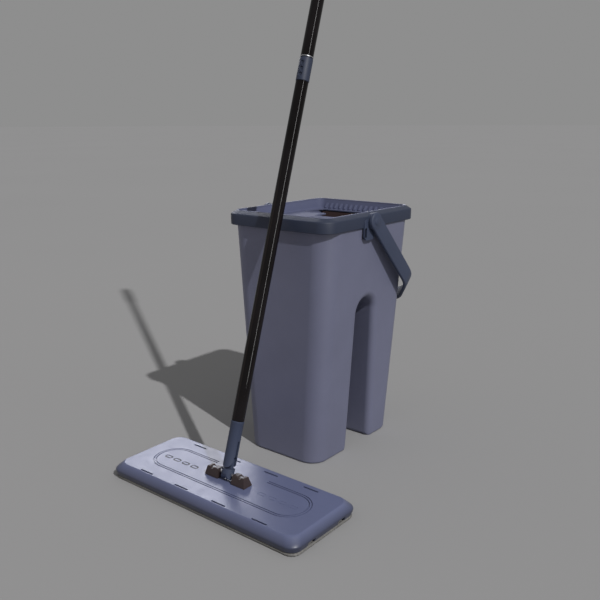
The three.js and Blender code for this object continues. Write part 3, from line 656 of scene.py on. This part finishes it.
def arch_corners(sunk=0.0):
    """The arch in (Y, Z), with its flares running out into the underside of the tub.

    sunk lowers the flares and widens them by the same amount.
    """
    front, flare = ARCH["front"], ARCH["flare"] + sunk
    aside, below, floor = 60.0, -40.0, -0.5 - sunk
    lean = (ARCH["back_foot"] - ARCH["back_crown"]) / ARCH["crown"]
    foot = ARCH["back_foot"] - lean * floor
    return [
        (front - aside, below, 0), (foot + aside, below, 0), (foot + aside, floor, 0),
        (foot, floor, flare), *crown_corners(), (front, floor, flare), (front - aside, floor, 0),
    ]


def arch_edge(side, grow=0.0):
    """A cutter that rounds the edge between the arch and one outer side of the tub."""
    beyond, r = 5.0, ARCH["edge_round"]
    corners = arch_corners(sunk=r)
    rounding = [(r * (sin(a) - 1), r * (1 - cos(a))) for a in quarter_turn(8)]
    rings = []
    for out, widen in [(-r - 1, -0.4), *rounding, (beyond, r)]:
        ring = outline(corners, grow + widen)
        rings.append([(side * (tub_corners(p.y, 0)[1][0] + out), p.x, p.y) for p in ring])
    return skin(rings)


def tub():
    """The hollow tub on its rounded foot, parted into two legs by the arch."""
    foot = [(TUB["foot"] * (1 - cos(a)), TUB["foot"] * (1 - sin(a))) for a in quarter_turn(6)]
    sections = [(tub_corners(z, inset), z) for z, inset in foot]
    outside = loft([*sections, (tub_corners(TUB["height"], 0), TUB["height"])])
    floor, wall, top = TUB["floor"], TUB["wall"], TUB["height"] + 2
    inside = loft([
        (tub_corners(floor, wall + 4), floor),
        (tub_corners(floor + 1.2, wall + 1.2), floor + 1.2),
        (tub_corners(floor + 4, wall), floor + 4),
        (tub_corners(top, wall), top),
    ])
    tunnel = along_x(arch_corners(), -REACH, REACH)
    chambers = carved(inside, along_x(arch_corners(), -REACH, REACH, wall),
                      arch_edge(-1, wall), arch_edge(1, wall))
    return carved(outside, tunnel, arch_edge(-1), arch_edge(1), chambers)


# ---------------------------------------------------------------- top frame


def rim_corners():
    return rectangle(*RIM["size"], RIM["r"])


def rim_profile():
    """(grow, z) round the rim band: the outer skirt and its top, sloping up to the inner edge."""
    low, high = RIM["low"], RIM["high"]
    return [
        (-1.9, low + 0.3), (-0.7, low), (-0.1, low + 0.7), (0, low + 4), (0, high - 4.6),
        (-0.3, high - 3.6), (-1.0, high - 3.0), (-2.0, high - 2.5), (-7.4, high + 0.7),
        (-8.4, high + 1.1), (-9.3, high + 0.9), (-10.0, high + 0.1), (-10.0, high - 10),
        (-1.9, high - 10),
    ]


def bead_profile():
    """(grow, z) round the polished bead on the rim's inner edge."""
    high = RIM["high"]
    return [
        (-8.2, high), (-8.3, high + 1.1), (-8.9, high + 1.7), (-9.8, high + 1.7),
        (-10.5, high + 1.1), (-10.7, high + 0.2), (-10.6, high - 0.9), (-9.6, high - 0.9),
    ]


def recess_profile():
    """(grow, z) from the rim's inner edge down to the tray."""
    high, tray = RIM["high"], RIM["tray"]
    return [
        (-9.9, high - 0.2), (-9.9, high - 10), (-12.0, tray - 3), (-16.0, tray - 3),
        (-16.0, tray), (-14.4, tray), (-13.0, tray + 0.8), (-12.4, tray + 2.2),
        (-10.9, high - 1.0), (-10.3, high - 0.2),
    ]


def slot_corners(side):
    """A slot for the mop head with its notch for the pole; side is -1 wash, 1 dry."""
    half, notch, r = SLOT["w"] / 2, SLOT["notch_w"] / 2, SLOT["r"]
    near, far, deep = SLOT["near"], SLOT["far"], SLOT["notch_to"]
    corners = [
        (-half, near, r), (-notch, near, 4.0), (-notch, deep, r), (notch, deep, r),
        (notch, near, 4.0), (half, near, r), (half, far, r), (-half, far, r),
    ]
    if side > 0:
        return corners
    return [(x, -y, radius) for x, y, radius in reversed(corners)]


def lip_profile():
    """(grow, z) round the low lip of a slot."""
    tray = RIM["tray"]
    return [
        (0, tray - 1.2), (0, tray + 0.3), (0.4, tray + 0.8), (1.3, tray + 1.0),
        (2.4, tray + 0.6), (3.2, tray - 0.1), (3.2, tray - 1), (1.6, tray - 1.2),
    ]


def tray():
    """The plate between the rim and both slots."""
    tray_top = RIM["tray"]
    w, d = (size - 2 * RIM_BAND for size in RIM["size"])
    plate = prism(rectangle(w, d, 9.0), tray_top - 1.3, tray_top - 0.1)
    holes = [prism(slot_corners(side), tray_top - 9, tray_top + 9, 1.2) for side in (-1, 1)]
    return carved(plate, *holes)


def back_ribs():
    """The row of upright ribs on the recess's back wall."""
    wall = RIM["size"][1] / 2 - 12.2
    foot, top = RIM["tray"] - 1, RIM["tray"] + RIB["rise"]
    corners = [(wall + 2, foot, 0), (wall + 2, top, 0), (wall - 0.2, top, 0.5),
               (wall - RIB["stand"], foot + 3, 0.8), (wall - RIB["stand"], foot, 0)]
    first = -RIB["pitch"] * (RIB["count"] - 1) / 2
    places = [first + RIB["pitch"] * i for i in range(RIB["count"])]
    half = RIB["thick"] / 2
    return together(along_x(corners, x - half, x + half) for x in places)


def cheeks():
    """Upright walls under the tray at the ends of both slots."""
    near = SLOT["w"] / 2 + CHEEK["gap"]
    x = (near, near + CHEEK["thick"])
    z = (CHEEK["low"], RIM["tray"] - 1)
    return together(block(mirrored(x, side), mirrored(CHEEK["y"], end), z)
                    for side in (1, -1) for end in (1, -1))


def ear(side):
    """The plate under the rim that carries the bail, with a drain slit beside the pivot."""
    height = EAR["high"] - EAR["low"]
    middle = (EAR["high"] + EAR["low"]) / 2
    x0, x1 = mirrored((EAR["x0"], EAR["x1"]), side)
    plate = along_x(rectangle(EAR["w"], height, EAR["r"], EAR["y"], middle), x0, x1)
    low, high, width = DRAIN_SLIT["low"], DRAIN_SLIT["high"], DRAIN_SLIT["w"]
    slit = along_x(rectangle(width, high - low, width / 2 - 0.2, DRAIN_SLIT["y"],
                             (low + high) / 2), x0 - 1, x1 + 1)
    return carved(plate, slit)


def slit_shade_plate(side):
    """A dark plate behind the ear's drain slit: painted shade that makes the slit look deep."""
    half = DRAIN_SLIT["w"] / 2 + 0.6
    x = mirrored((EAR["x0"] - 1.6, EAR["x0"] - 0.1), side)
    y = (DRAIN_SLIT["y"] - half, DRAIN_SLIT["y"] + half)
    return block(x, y, (DRAIN_SLIT["low"] - 0.6, DRAIN_SLIT["high"]))


def boss(side):
    """The round boss on the rim that the bail turns against."""
    y, z = BAIL["pivot"]
    start = RIM["size"][0] / 2 - 1
    end = BAIL["inner"] - 0.3
    disc = turned([(BAIL["hub"] - 1.2, start), (BAIL["hub"] - 1.2, end - 0.5),
                   (BAIL["hub"] - 1.8, end)], 56)
    return shifted(facing_out(disc, side), 0, y, z)


# ---------------------------------------------------------------- bail handle


def bail_frame():
    """Local X stays X, local Y runs down the arm, local Z across the strap."""
    y, z = BAIL["pivot"]
    s, c = sin(BAIL["hang"]), cos(BAIL["hang"])
    return Matrix(((1, 0, 0, 0), (0, s, c, y), (0, -c, s, z), (0, 0, 0, 1)))


def bail_path():
    """The strap's middle line in its own plane: arm, slanted corner, cross-bar, and back."""
    arm = BAIL["inner"] + BAIL["thick"] / 2
    end, half, at, bend = BAIL["arm_end"], BAIL["bar_half"], BAIL["bar_at"], BAIL["bend"]
    corners = [(arm, 0, 0), (arm, end, bend), (half, at, bend), (-half, at, bend),
               (-arm, end, bend), (-arm, 0, 0)]
    return outline(corners, 0, 10)


def bail():
    """The flat strap, mitred where its line bends."""
    path = bail_path()
    section = [(p.x, p.y) for p in outline(rectangle(BAIL["thick"], BAIL["width"], 1.7), 0, 5)]
    across = Vector((0, 0, 1))
    stations = []
    for i, point in enumerate(path):
        before = path[max(i - 1, 0)]
        after = path[min(i + 1, len(path) - 1)]
        along = (after - before).normalized()
        outward = Vector((along.y, -along.x, 0))
        came = (point - before).normalized() if i else along
        stretch = 1 / max(came.dot(along), 0.5)
        stations.append((Vector((point.x, point.y, 0)), outward * -stretch, across))
    return swept(stations, section)


def bail_hub(side):
    """The round end of an arm, a hair proud of the strap on both faces."""
    start, end = BAIL["inner"] - 0.15, BAIL["inner"] + BAIL["thick"] + 0.25
    disc = turned([(BAIL["hub"] - 0.8, start), (BAIL["hub"], start + 0.8),
                   (BAIL["hub"], end - 1.6), (BAIL["hub"] - 0.5, end - 0.6),
                   (BAIL["hub"] - 1.6, end), (0, end)], 56)
    return facing_out(disc, side)


def bail_grip():
    """The thicker palm grip on the cross-bar, with finger ridges under it."""
    half, at = PALM_GRIP["half"], BAIL["bar_at"]
    stations = []
    steps = 60
    for i in range(steps + 1):
        t = i / steps
        swell = 1.0 + PALM_GRIP["swell"] * min(1.0, 6 * min(t, 1 - t))
        x = half - 2 * half * t
        stations.append((Vector((x, at, 0)), Vector((0, 1, 0)) * swell, Vector((0, 0, 1))))
    section = [(p.x, p.y) for p in
               outline(rectangle(BAIL["thick"], BAIL["width"] + 0.4, 2.2), 0, 5)]
    ridges = []
    deep, wide, long = PALM_GRIP["ridge_size"]
    count = PALM_GRIP["ridges_each_way"]
    for i in range(-count, count + 1):
        x = i * PALM_GRIP["ridge_pitch"]
        ridge = along_x(rectangle(deep, wide, 1.0), x - long / 2, x + long / 2)
        ridges.append(shifted(ridge, 0, at - PALM_GRIP["ridge_out"], 0))
    return together([swept(stations, section), *ridges])


def bail_pin(side):
    """The low domed head of the rivet in a hub."""
    end = BAIL["inner"] + BAIL["thick"] + 0.25
    head = turned([(5.4, end - 0.5), (5.4, end + 0.2), (4.9, end + 0.6), (3.8, end + 0.9),
                   (2.0, end + 1.1), (0, end + 1.2)], 40)
    y, z = BAIL["pivot"]
    return shifted(facing_out(head, side), 0, y, z)


# ---------------------------------------------------------------- mop head


def head_corners(inset):
    return rectangle(HEAD["w"] - 2 * inset, HEAD["d"] - 2 * inset, HEAD["r"])


def track_groove(step):
    """One line of the double racetrack, parted behind the brackets."""
    half = TRACK["half"] - step * TRACK["step"]
    length = TRACK["length"] - step * TRACK["step"]
    top, wide, deep = HEAD["plate"], TRACK["groove"] / 2, TRACK["deep"]
    ring = carved(
        prism(rectangle(2 * length, 2 * half, half - 0.01), top - deep, top + 2, wide),
        prism(rectangle(2 * length, 2 * half, half - 0.01), top - 3, top + 3, -wide),
    )
    gap = block((-TRACK["gap"], TRACK["gap"]), (TRACK["gap_from"], REACH), (0, REACH))
    return carved(ring, gap)


def marks(sides, low, high, grow=0.0):
    """Plain capsule rings in a row inside the racetrack, on the given sides of the brackets."""
    corner = MARK["d"] / 2 - 0.1
    rings = []
    for side in sides:
        for i in range(MARK["count"]):
            x = side * (MARK["first"] + MARK["pitch"] * i)
            capsule = rectangle(MARK["w"], MARK["d"], corner, x, MARK["y"])
            rings.append(carved(prism(capsule, low, high, grow),
                                prism(capsule, low - 1, high + 1, -MARK["line"] - grow)))
    return together(rings)


def head_cover():
    """The shell of the mop head, with its slots, grooves, rings and end notches."""
    wall = HEAD["wall"]
    outside = loft([(head_corners(inset), z) for inset, z in SHOULDER])
    inside = loft([(head_corners(inset + wall), z - wall) for inset, z in SHOULDER])
    top = HEAD["plate"]
    slots = together(
        prism(rectangle(TUBE_SLOT["w"], TUBE_SLOT["d"], TUBE_SLOT["r"], x, y), top - 6, top + 4)
        for x in TUBE_SLOT["x"] for y in TUBE_SLOT["y"])
    half, reach = END_NOTCH["half"], 5.0
    z = (HEAD["low"] - 2, HEAD["low"] + END_NOTCH["high"])
    notches = together(
        block((x - reach, x + reach), (y - half, y + half), z)
        for x in (-HEAD["w"] / 2, HEAD["w"] / 2) for y in (-END_NOTCH["y"], END_NOTCH["y"]))
    deep_marks = marks((-1,), top - MARK["deep"], top + 2)
    faint_marks = marks((1,), top - MARK["deep"] / 3, top + 2)
    return carved(outside, inside, slots, track_groove(0), track_groove(1), deep_marks,
                  faint_marks, notches)


def mark_inlays():
    """The dark filling of the left-hand row of rings."""
    top = HEAD["plate"]
    return marks((-1,), top - MARK["deep"] - 0.2, top - 0.25, -0.25)


# ---------------------------------------------------------------- microfibre pad


def rounded_grid(u, v):
    """A point of the cloth's rectangle for u and v from -1 to 1, its corners drawn round."""
    half_w, half_d = (PAD[key] / 2 - PAD["cloth_in"] for key in ("w", "d"))
    r = PAD["r"]
    x, y = u * half_w, v * half_d
    a = max(abs(x) - (half_w - r), 0) / r
    b = max(abs(y) - (half_d - r), 0) / r
    if a > 0 and b > 0:
        x = (half_w - r + r * a * (1 - b * b / 2) ** 0.5) * (1 if x > 0 else -1)
        y = (half_d - r + r * b * (1 - a * a / 2) ** 0.5) * (1 if y > 0 else -1)
    return x, y


def pad_slab(low, high, across, along):
    """A closed slab of grid faces, ready to be puffed by the cloth simulation."""
    vertices, faces = [], []

    def grid(z, flip):
        start = len(vertices)
        for j in range(along + 1):
            for i in range(across + 1):
                x, y = rounded_grid(2 * i / across - 1, 2 * j / along - 1)
                vertices.append((x, y, z))
        for j in range(along):
            for i in range(across):
                a = start + j * (across + 1) + i
                face = (a, a + 1, a + across + 2, a + across + 1)
                faces.append(tuple(reversed(face)) if flip else face)
        return start

    bottom = grid(low, True)
    top = grid(high, False)
    row = across + 1
    edge = [i for i in range(across)] + [across + row * j for j in range(along)]
    edge += [row * along + i for i in range(across, 0, -1)] + [row * j for j in range(along, 0, -1)]
    for i, a in enumerate(edge):
        b = edge[(i + 1) % len(edge)]
        faces.append((bottom + a, bottom + b, top + b, top + a))
    return vertices, faces


def puffed(shape, rows, frames=18, cap=1.5):
    """The slab swollen between its sewn rows by a cloth simulation, no point moving past cap."""
    slab = new_object("slab", shape, MM)
    sewn = slab.vertex_groups.new(name="sewn")
    held = [v.index for v in slab.data.vertices
            if min(abs(abs(v.co.y) - row * MM) for row in rows) < 2.1 * MM]
    sewn.add(held, 1.0, "REPLACE")
    cloth = slab.modifiers.new("swell", "CLOTH")
    cloth.settings.use_pressure = True
    cloth.settings.uniform_pressure_force = 4.0
    cloth.settings.effector_weights.gravity = 0.0
    cloth.settings.vertex_group_mass = "sewn"
    scene = bpy.context.scene
    for step in range(1, frames + 1):
        scene.frame_set(step)
    swollen = evaluated_shape(slab)[0]
    scene.frame_set(1)
    vertices = []
    for start, end in zip(shape[0], swollen):
        move = Vector(end) / MM - Vector(start)
        if move.length > cap:
            move *= cap / move.length
        vertices.append(tuple(Vector(start) + move))
    bpy.data.objects.remove(slab)
    return vertices, shape[1]


def pad_body():
    slab = pad_slab(*PAD["cloth"], *PAD["grid"])
    return puffed(slab, PAD["rows"])


def hem():
    """The overlocked edge: a soft cord round the pad with a stitch every few millimetres."""
    path = outline(rectangle(PAD["w"], PAD["d"], PAD["r"]), -PAD["hem_in"], 14)
    points = resampled(path, HEM["spacing"])
    stations = []
    for i, point in enumerate(points):
        before, after = points[i - 1], points[(i + 1) % len(points)]
        along = (after - before).normalized()
        outward = Vector((along.y, -along.x, 0))
        swell = 1.0 + HEM["swell"] * sin(i * 2 * pi / HEM["stitch"])
        wander = HEM["wander"] * noise.noise(Vector((point.x, point.y, 0)) * 0.2)
        middle = Vector((point.x, point.y, PAD["high"] / 2 + wander))
        stations.append((middle, outward * swell, Vector((0, 0, 1)) * swell))
    across, up = HEM["r"]
    section = [(across * cos(a), up * sin(a)) for a in (pi * k / 5 for k in range(10))]
    return swept(stations, section, looped=True)


def resampled(points, spacing):
    """Points every spacing or so along a closed line."""
    line = []
    for i, point in enumerate(points):
        after = points[(i + 1) % len(points)]
        count = max(1, round((after - point).length / spacing))
        line += [point.lerp(after, k / count) for k in range(count)]
    return line


# ---------------------------------------------------------------- universal joint


def bracket(side):
    """A wedge-shaped block with a saddle in its crest and the pitch pin's bore."""
    near, far, foot, crest = (BRACKET[key] for key in ("near", "far", "foot", "crest"))
    base, top = HEAD["plate"] + 0.3, HEAD["plate"] + BRACKET["high"]
    wedge = along_x([(-foot, base, 0.6), (foot, base, 0.6), (crest, top, 1.2),
                     (-crest, top, 1.2)], near, far)
    slope = along_y([(near, base - 2, 0), (far, base - 2, 0), (far, base, 0.5),
                     (far - 3, top, 1.6), (near + 1.2, top, 1.0), (near, top - 3, 0.5)], -20, 20)
    body = combined("INTERSECT", wedge, slope)
    saddle = shifted(rod(BRACKET["saddle_r"], -30, 30, "y", 32), (near + far) / 2 + 1, 0,
                     top + 1.4)
    bore = shifted(rod(BRACKET["bore_r"], near - 1, far - 6, "x", 28), 0, 0,
                   HEAD["plate"] + BRACKET["pin_high"])
    shape = carved(body, saddle, bore)
    return shape if side > 0 else moved(shape, Matrix.Diagonal((-1, 1, 1, 1)))


def socket():
    """The pole's lower end: a round plastic sleeve, slit for the joint's tongue."""
    r, pin, top = POLE["r"], POLE["roll_pin"], POLE["socket_top"]
    sides, half = SOCKET["sides"], SOCKET["tongue_half"]
    sleeve = turned([(r, pin), (r, top - 2.4), (r + 0.25, top - 2.0), (r + 0.25, top - 0.7),
                     (r - 0.5, top), (0, top)], sides)
    round_end = combined("INTERSECT", turned([(r, pin - r), (r, pin + 0.5)], sides),
                         shifted(rod(SOCKET["knuckle_r"], -20, 20, "y", sides), 0, 0, pin))
    tongue = block((-REACH, REACH), (-half, half), (-REACH, pin + SOCKET["tongue_up"]))
    slit = along_x(rectangle(*SOCKET["slit"], 0, pin + SOCKET["slit_up"]), -REACH, REACH)
    return carved(combined("UNION", sleeve, round_end), tongue, slit)


# ---------------------------------------------------------------- pole


def tube(low, high):
    """A thin tube with its ends just broken."""
    r, bore = POLE["r"], POLE["r"] - POLE["wall"]
    return turned([(r - 0.3, low), (r, low + 0.3), (r, high - 0.3), (r - 0.3, high),
                   (bore, high), (bore, low)], POLE["sides"], looped=True)


def collar():
    """The joint between both tubes, with finger hollows and a thin step at each end."""
    low, high = POLE["collar"]
    r = POLE["r"] + 0.4
    body = turned([(r - 0.5, low + 0.3), (r, low + 0.8), (r, high - 2.0), (r - 0.25, high - 1.6),
                   (r - 0.25, high - 0.4), (0, high - 0.3)], POLE["sides"])
    inner, outer = HOLLOW["r"]
    hollow = moved(turned([(0, 0), (inner, 0), (outer, HOLLOW["long"])], 32), turned_to("-y"))
    hollows = together(shifted(hollow, HOLLOW["x"], 0, low + up) for up in HOLLOW["at"])
    return carved(body, shifted(hollows, 0, -r + HOLLOW["deep"], 0))


def collar_ring():
    """The bright ring on top of the collar."""
    low = POLE["collar"][1] + 0.3
    r = POLE["r"] + 0.5
    return turned([(r - 0.6, low), (r, low + 0.4), (r, low + 1.5), (r - 0.6, low + 1.9),
                   (POLE["r"] - 1, low + 1.9), (POLE["r"] - 1, low)], POLE["sides"], looped=True)


def upper_end():
    """Where the upper tube and its grip stop, under the cap."""
    return POLE["top"] - POLE["cap"]


def grip():
    """A soft sleeve with shallow rings for the hand."""
    high = upper_end()
    low = high - GRIP["long"]
    bore = POLE["r"] + 0.3
    steps = GRIP["rings"] * GRIP["steps"]
    profile = [(bore, low)]
    for i in range(steps + 1):
        t = i / steps
        swell = GRIP["swell"] * sin(pi * t) + GRIP["thick"]
        ripple = GRIP["ripple"] * (1 - cos(2 * pi * GRIP["rings"] * t))
        end = GRIP["end"] * (1 - min(1.0, GRIP["end_slope"] * min(t, 1 - t))) ** 2
        profile.append((POLE["r"] + swell + ripple - end, low + GRIP["long"] * t))
    profile.append((bore, high))
    return turned(profile, POLE["sides"], looped=True)


def end_cap():
    """The domed cap with its hanging hole."""
    at = upper_end()
    dome = turned([(r, at + z) for r, z in CAP_PROFILE], POLE["sides"])
    hole = shifted(rod(CAP_HOLE["r"], -30, 30, "x", 40), 0, 0, at + CAP_HOLE["up"])
    return carved(dome, hole)


# ---------------------------------------------------------------- putting the pieces in place


def on_bucket(name, shape, material, stands_for=(), slot="frame_plastic", **look):
    piece(name, shape, BUCKET_PLACE, "bucket", slot, material, stands_for, **look)


def dress_bucket():
    rim = rim_corners()
    on_bucket("tub_shell", tub(), TUB_PLASTIC, ["bucket_tub"], "tub_plastic", smooth=40,
              flat_faces=True)
    # The rim band wears the darker copy of the frame plastic as painted shade.
    on_bucket("rim_band", band(rim, rim_profile()), SHADED_FRAME_PLASTIC, ["top_frame"])
    # The bead is glossy and painted pale: a painted highlight along the rim.
    on_bucket("rim_bead", band(rim, bead_profile()), HIGHLIGHT_BEAD_PLASTIC)
    # The recess, tray, slot lips, ribs and cheeks wear the lighter copy as painted light.
    on_bucket("rim_recess", band(rim, recess_profile()), LIT_TRAY_PLASTIC)
    on_bucket("wringer_tray", tray(), LIT_TRAY_PLASTIC)
    lips = together(band(slot_corners(side), lip_profile()) for side in (-1, 1))
    on_bucket("slot_lips", lips, LIT_TRAY_PLASTIC)
    on_bucket("back_ribs", back_ribs(), LIT_TRAY_PLASTIC, bevel=0.4)
    on_bucket("slot_cheeks", cheeks(), LIT_TRAY_PLASTIC, bevel=0.6)
    for side, word in SIDES:
        ear_and_boss = together([ear(side), boss(side)])
        on_bucket("bail_ear_" + word, ear_and_boss, FRAME_PLASTIC, bevel=0.6)
        # A dark plate behind each drain slit: painted shade.
        on_bucket("ear_stop_" + word, slit_shade_plate(side), INLAY_AND_SHADE_PLASTIC, slot="dark_plastic")
        on_bucket("bail_rivet_" + word, bail_pin(side), FRAME_PLASTIC, ["bail_pin_" + word])


def dress_bail():
    place = BUCKET_PLACE @ bail_frame()
    strap = together([bail(), bail_hub(-1), bail_hub(1)])
    piece("bail_strap", strap, place, "bail", "frame_plastic", FRAME_PLASTIC, ["bail_handle"])
    piece("bail_grip", bail_grip(), place, "bail", "frame_plastic", FRAME_PLASTIC, bevel=0.4)


def dress_head():
    piece("head_shell", head_cover(), HEAD_PLACE, "head", "cover_plastic", COVER_PLASTIC,
          ["head_cover"], smooth=28, flat_faces=True)
    piece("cover_inlays", mark_inlays(), HEAD_PLACE, "head", "dark_plastic", INLAY_AND_SHADE_PLASTIC)
    for side, word in SIDES:
        piece("joint_bracket_" + word, bracket(side), HEAD_PLACE, "head", "dark_plastic",
              DARK_PLASTIC, ["bracket_" + word], bevel=0.5)
    pad = piece("mop_pad_cloth", pad_body(), HEAD_PLACE, "head", "microfibre", CLOTH,
                ["mop_pad"], smooth=60)
    piece("mop_pad_hem", hem(), HEAD_PLACE, "head", "microfibre", CLOTH, smooth=60)


def on_pole(name, shape, material, stands_for, slot="frame_plastic", **look):
    piece(name, shape, POLE_PLACE, "pole", slot, material, [stands_for], **look)


def dress_pole():
    lower = tube(POLE["socket_top"] + 0.3, POLE["collar"][0])
    upper = tube(POLE["collar"][1] + 2.5, upper_end())
    on_pole("socket_sleeve", socket(), FRAME_PLASTIC, "pole_socket", bevel=0.35)
    on_pole("pole_lower", lower, ENAMEL, "lower_tube", "black_tube")
    # The collar wears the darker copy of the frame plastic as painted shade.
    on_pole("pole_collar", collar(), SHADED_FRAME_PLASTIC, "collar", bevel=0.25)
    on_pole("pole_ring", collar_ring(), STEEL, "collar_ring", "steel")
    on_pole("pole_upper", upper, ENAMEL, "upper_tube", "black_tube")
    on_pole("hand_grip", grip(), FRAME_PLASTIC, "grip_sleeve", smooth=60)
    on_pole("pole_cap", end_cap(), FRAME_PLASTIC, "end_cap", bevel=0.4)


def dress_carried_nodes():
    """The CAD nodes that stay in view take their slot's procedural material."""
    for entry in frame["record"]["subparts"]:
        node = frame["nodes"][entry["node"]]
        node.data.materials.clear()
        node.data.materials.append(SLOT_MATERIALS[entry["material_slot"]])


# ---------------------------------------------------------------- floor, lights and camera


def studio_floor():
    """A wide pale floor, lit to the same tone as the world behind it."""
    nodes = Nodes("studio_floor")
    base = nodes.mixed(nodes.noise(0.7, 2.0), (0.365, 0.365, 0.37), (0.38, 0.38, 0.385))
    material = nodes.finish(base, nodes.spread(nodes.noise(3.0), 0.9, 1.0))
    nodes.set(specular_ior_level=0.0)
    sides = STUDIO["floor_sides"]
    disc = [(STUDIO["floor"] * cos(a), STUDIO["floor"] * sin(a), 0.0) for a in
            (2 * pi * i / sides for i in range(sides))]
    made = new_object("studio_floor", (disc, [tuple(range(sides))]))
    made.data.materials.append(material)


def aimed(name, data, place, target):
    """A light in its place, pointing at the target."""
    made = bpy.data.objects.new(name, data)
    bpy.context.scene.collection.objects.link(made)
    made.location = place
    made.rotation_euler = (Vector(target) - Vector(place)).to_track_quat("-Z", "Y").to_euler()
    return made


def key_light():
    data = bpy.data.lights.new("key", "SUN")
    data.energy = KEY_LIGHT["power"]
    data.angle = radians(KEY_LIGHT["angle"])
    data.color = KEY_LIGHT["color"]
    aimed("key", data, KEY_LIGHT["place"], (0, 0, 0))


def soft_box(name, place, target, size, power, color, diffuse):
    """A rectangular light; with diffuse off it is seen only in reflections."""
    data = bpy.data.lights.new(name, "AREA")
    data.shape = "RECTANGLE"
    data.size, data.size_y = size
    data.energy = power
    data.color = color
    made = aimed(name, data, place, target)
    made.visible_camera = False
    made.visible_diffuse = diffuse


def studio():
    studio_floor()
    key_light()
    for box in SOFT_BOXES:
        soft_box(**box)
    world = bpy.data.worlds.new("studio")
    world.use_nodes = True
    background = world.node_tree.nodes["Background"]
    background.inputs["Color"].default_value = (1.0, 1.0, 1.0, 1.0)
    background.inputs["Strength"].default_value = STUDIO["world"]
    bpy.context.scene.world = world
    bpy.context.scene.view_settings.view_transform = "Standard"


def camera():
    data = bpy.data.cameras.new("camera")
    data.lens = CAMERA["lens"]
    data.sensor_width = CAMERA["sensor"]
    made = bpy.data.objects.new("camera", data)
    bpy.context.scene.collection.objects.link(made)
    facing = Vector(CAMERA["towards"]).to_track_quat("-Z", "Y").to_matrix().to_4x4()
    roll = Matrix.Rotation(radians(CAMERA["roll"]), 4, "Z")
    made.matrix_world = Matrix.Translation(CAMERA["place"]) @ facing @ roll
    bpy.context.scene.camera = made


camera()
studio()
dress_carried_nodes()
dress_bucket()
dress_bail()
dress_head()
dress_pole()
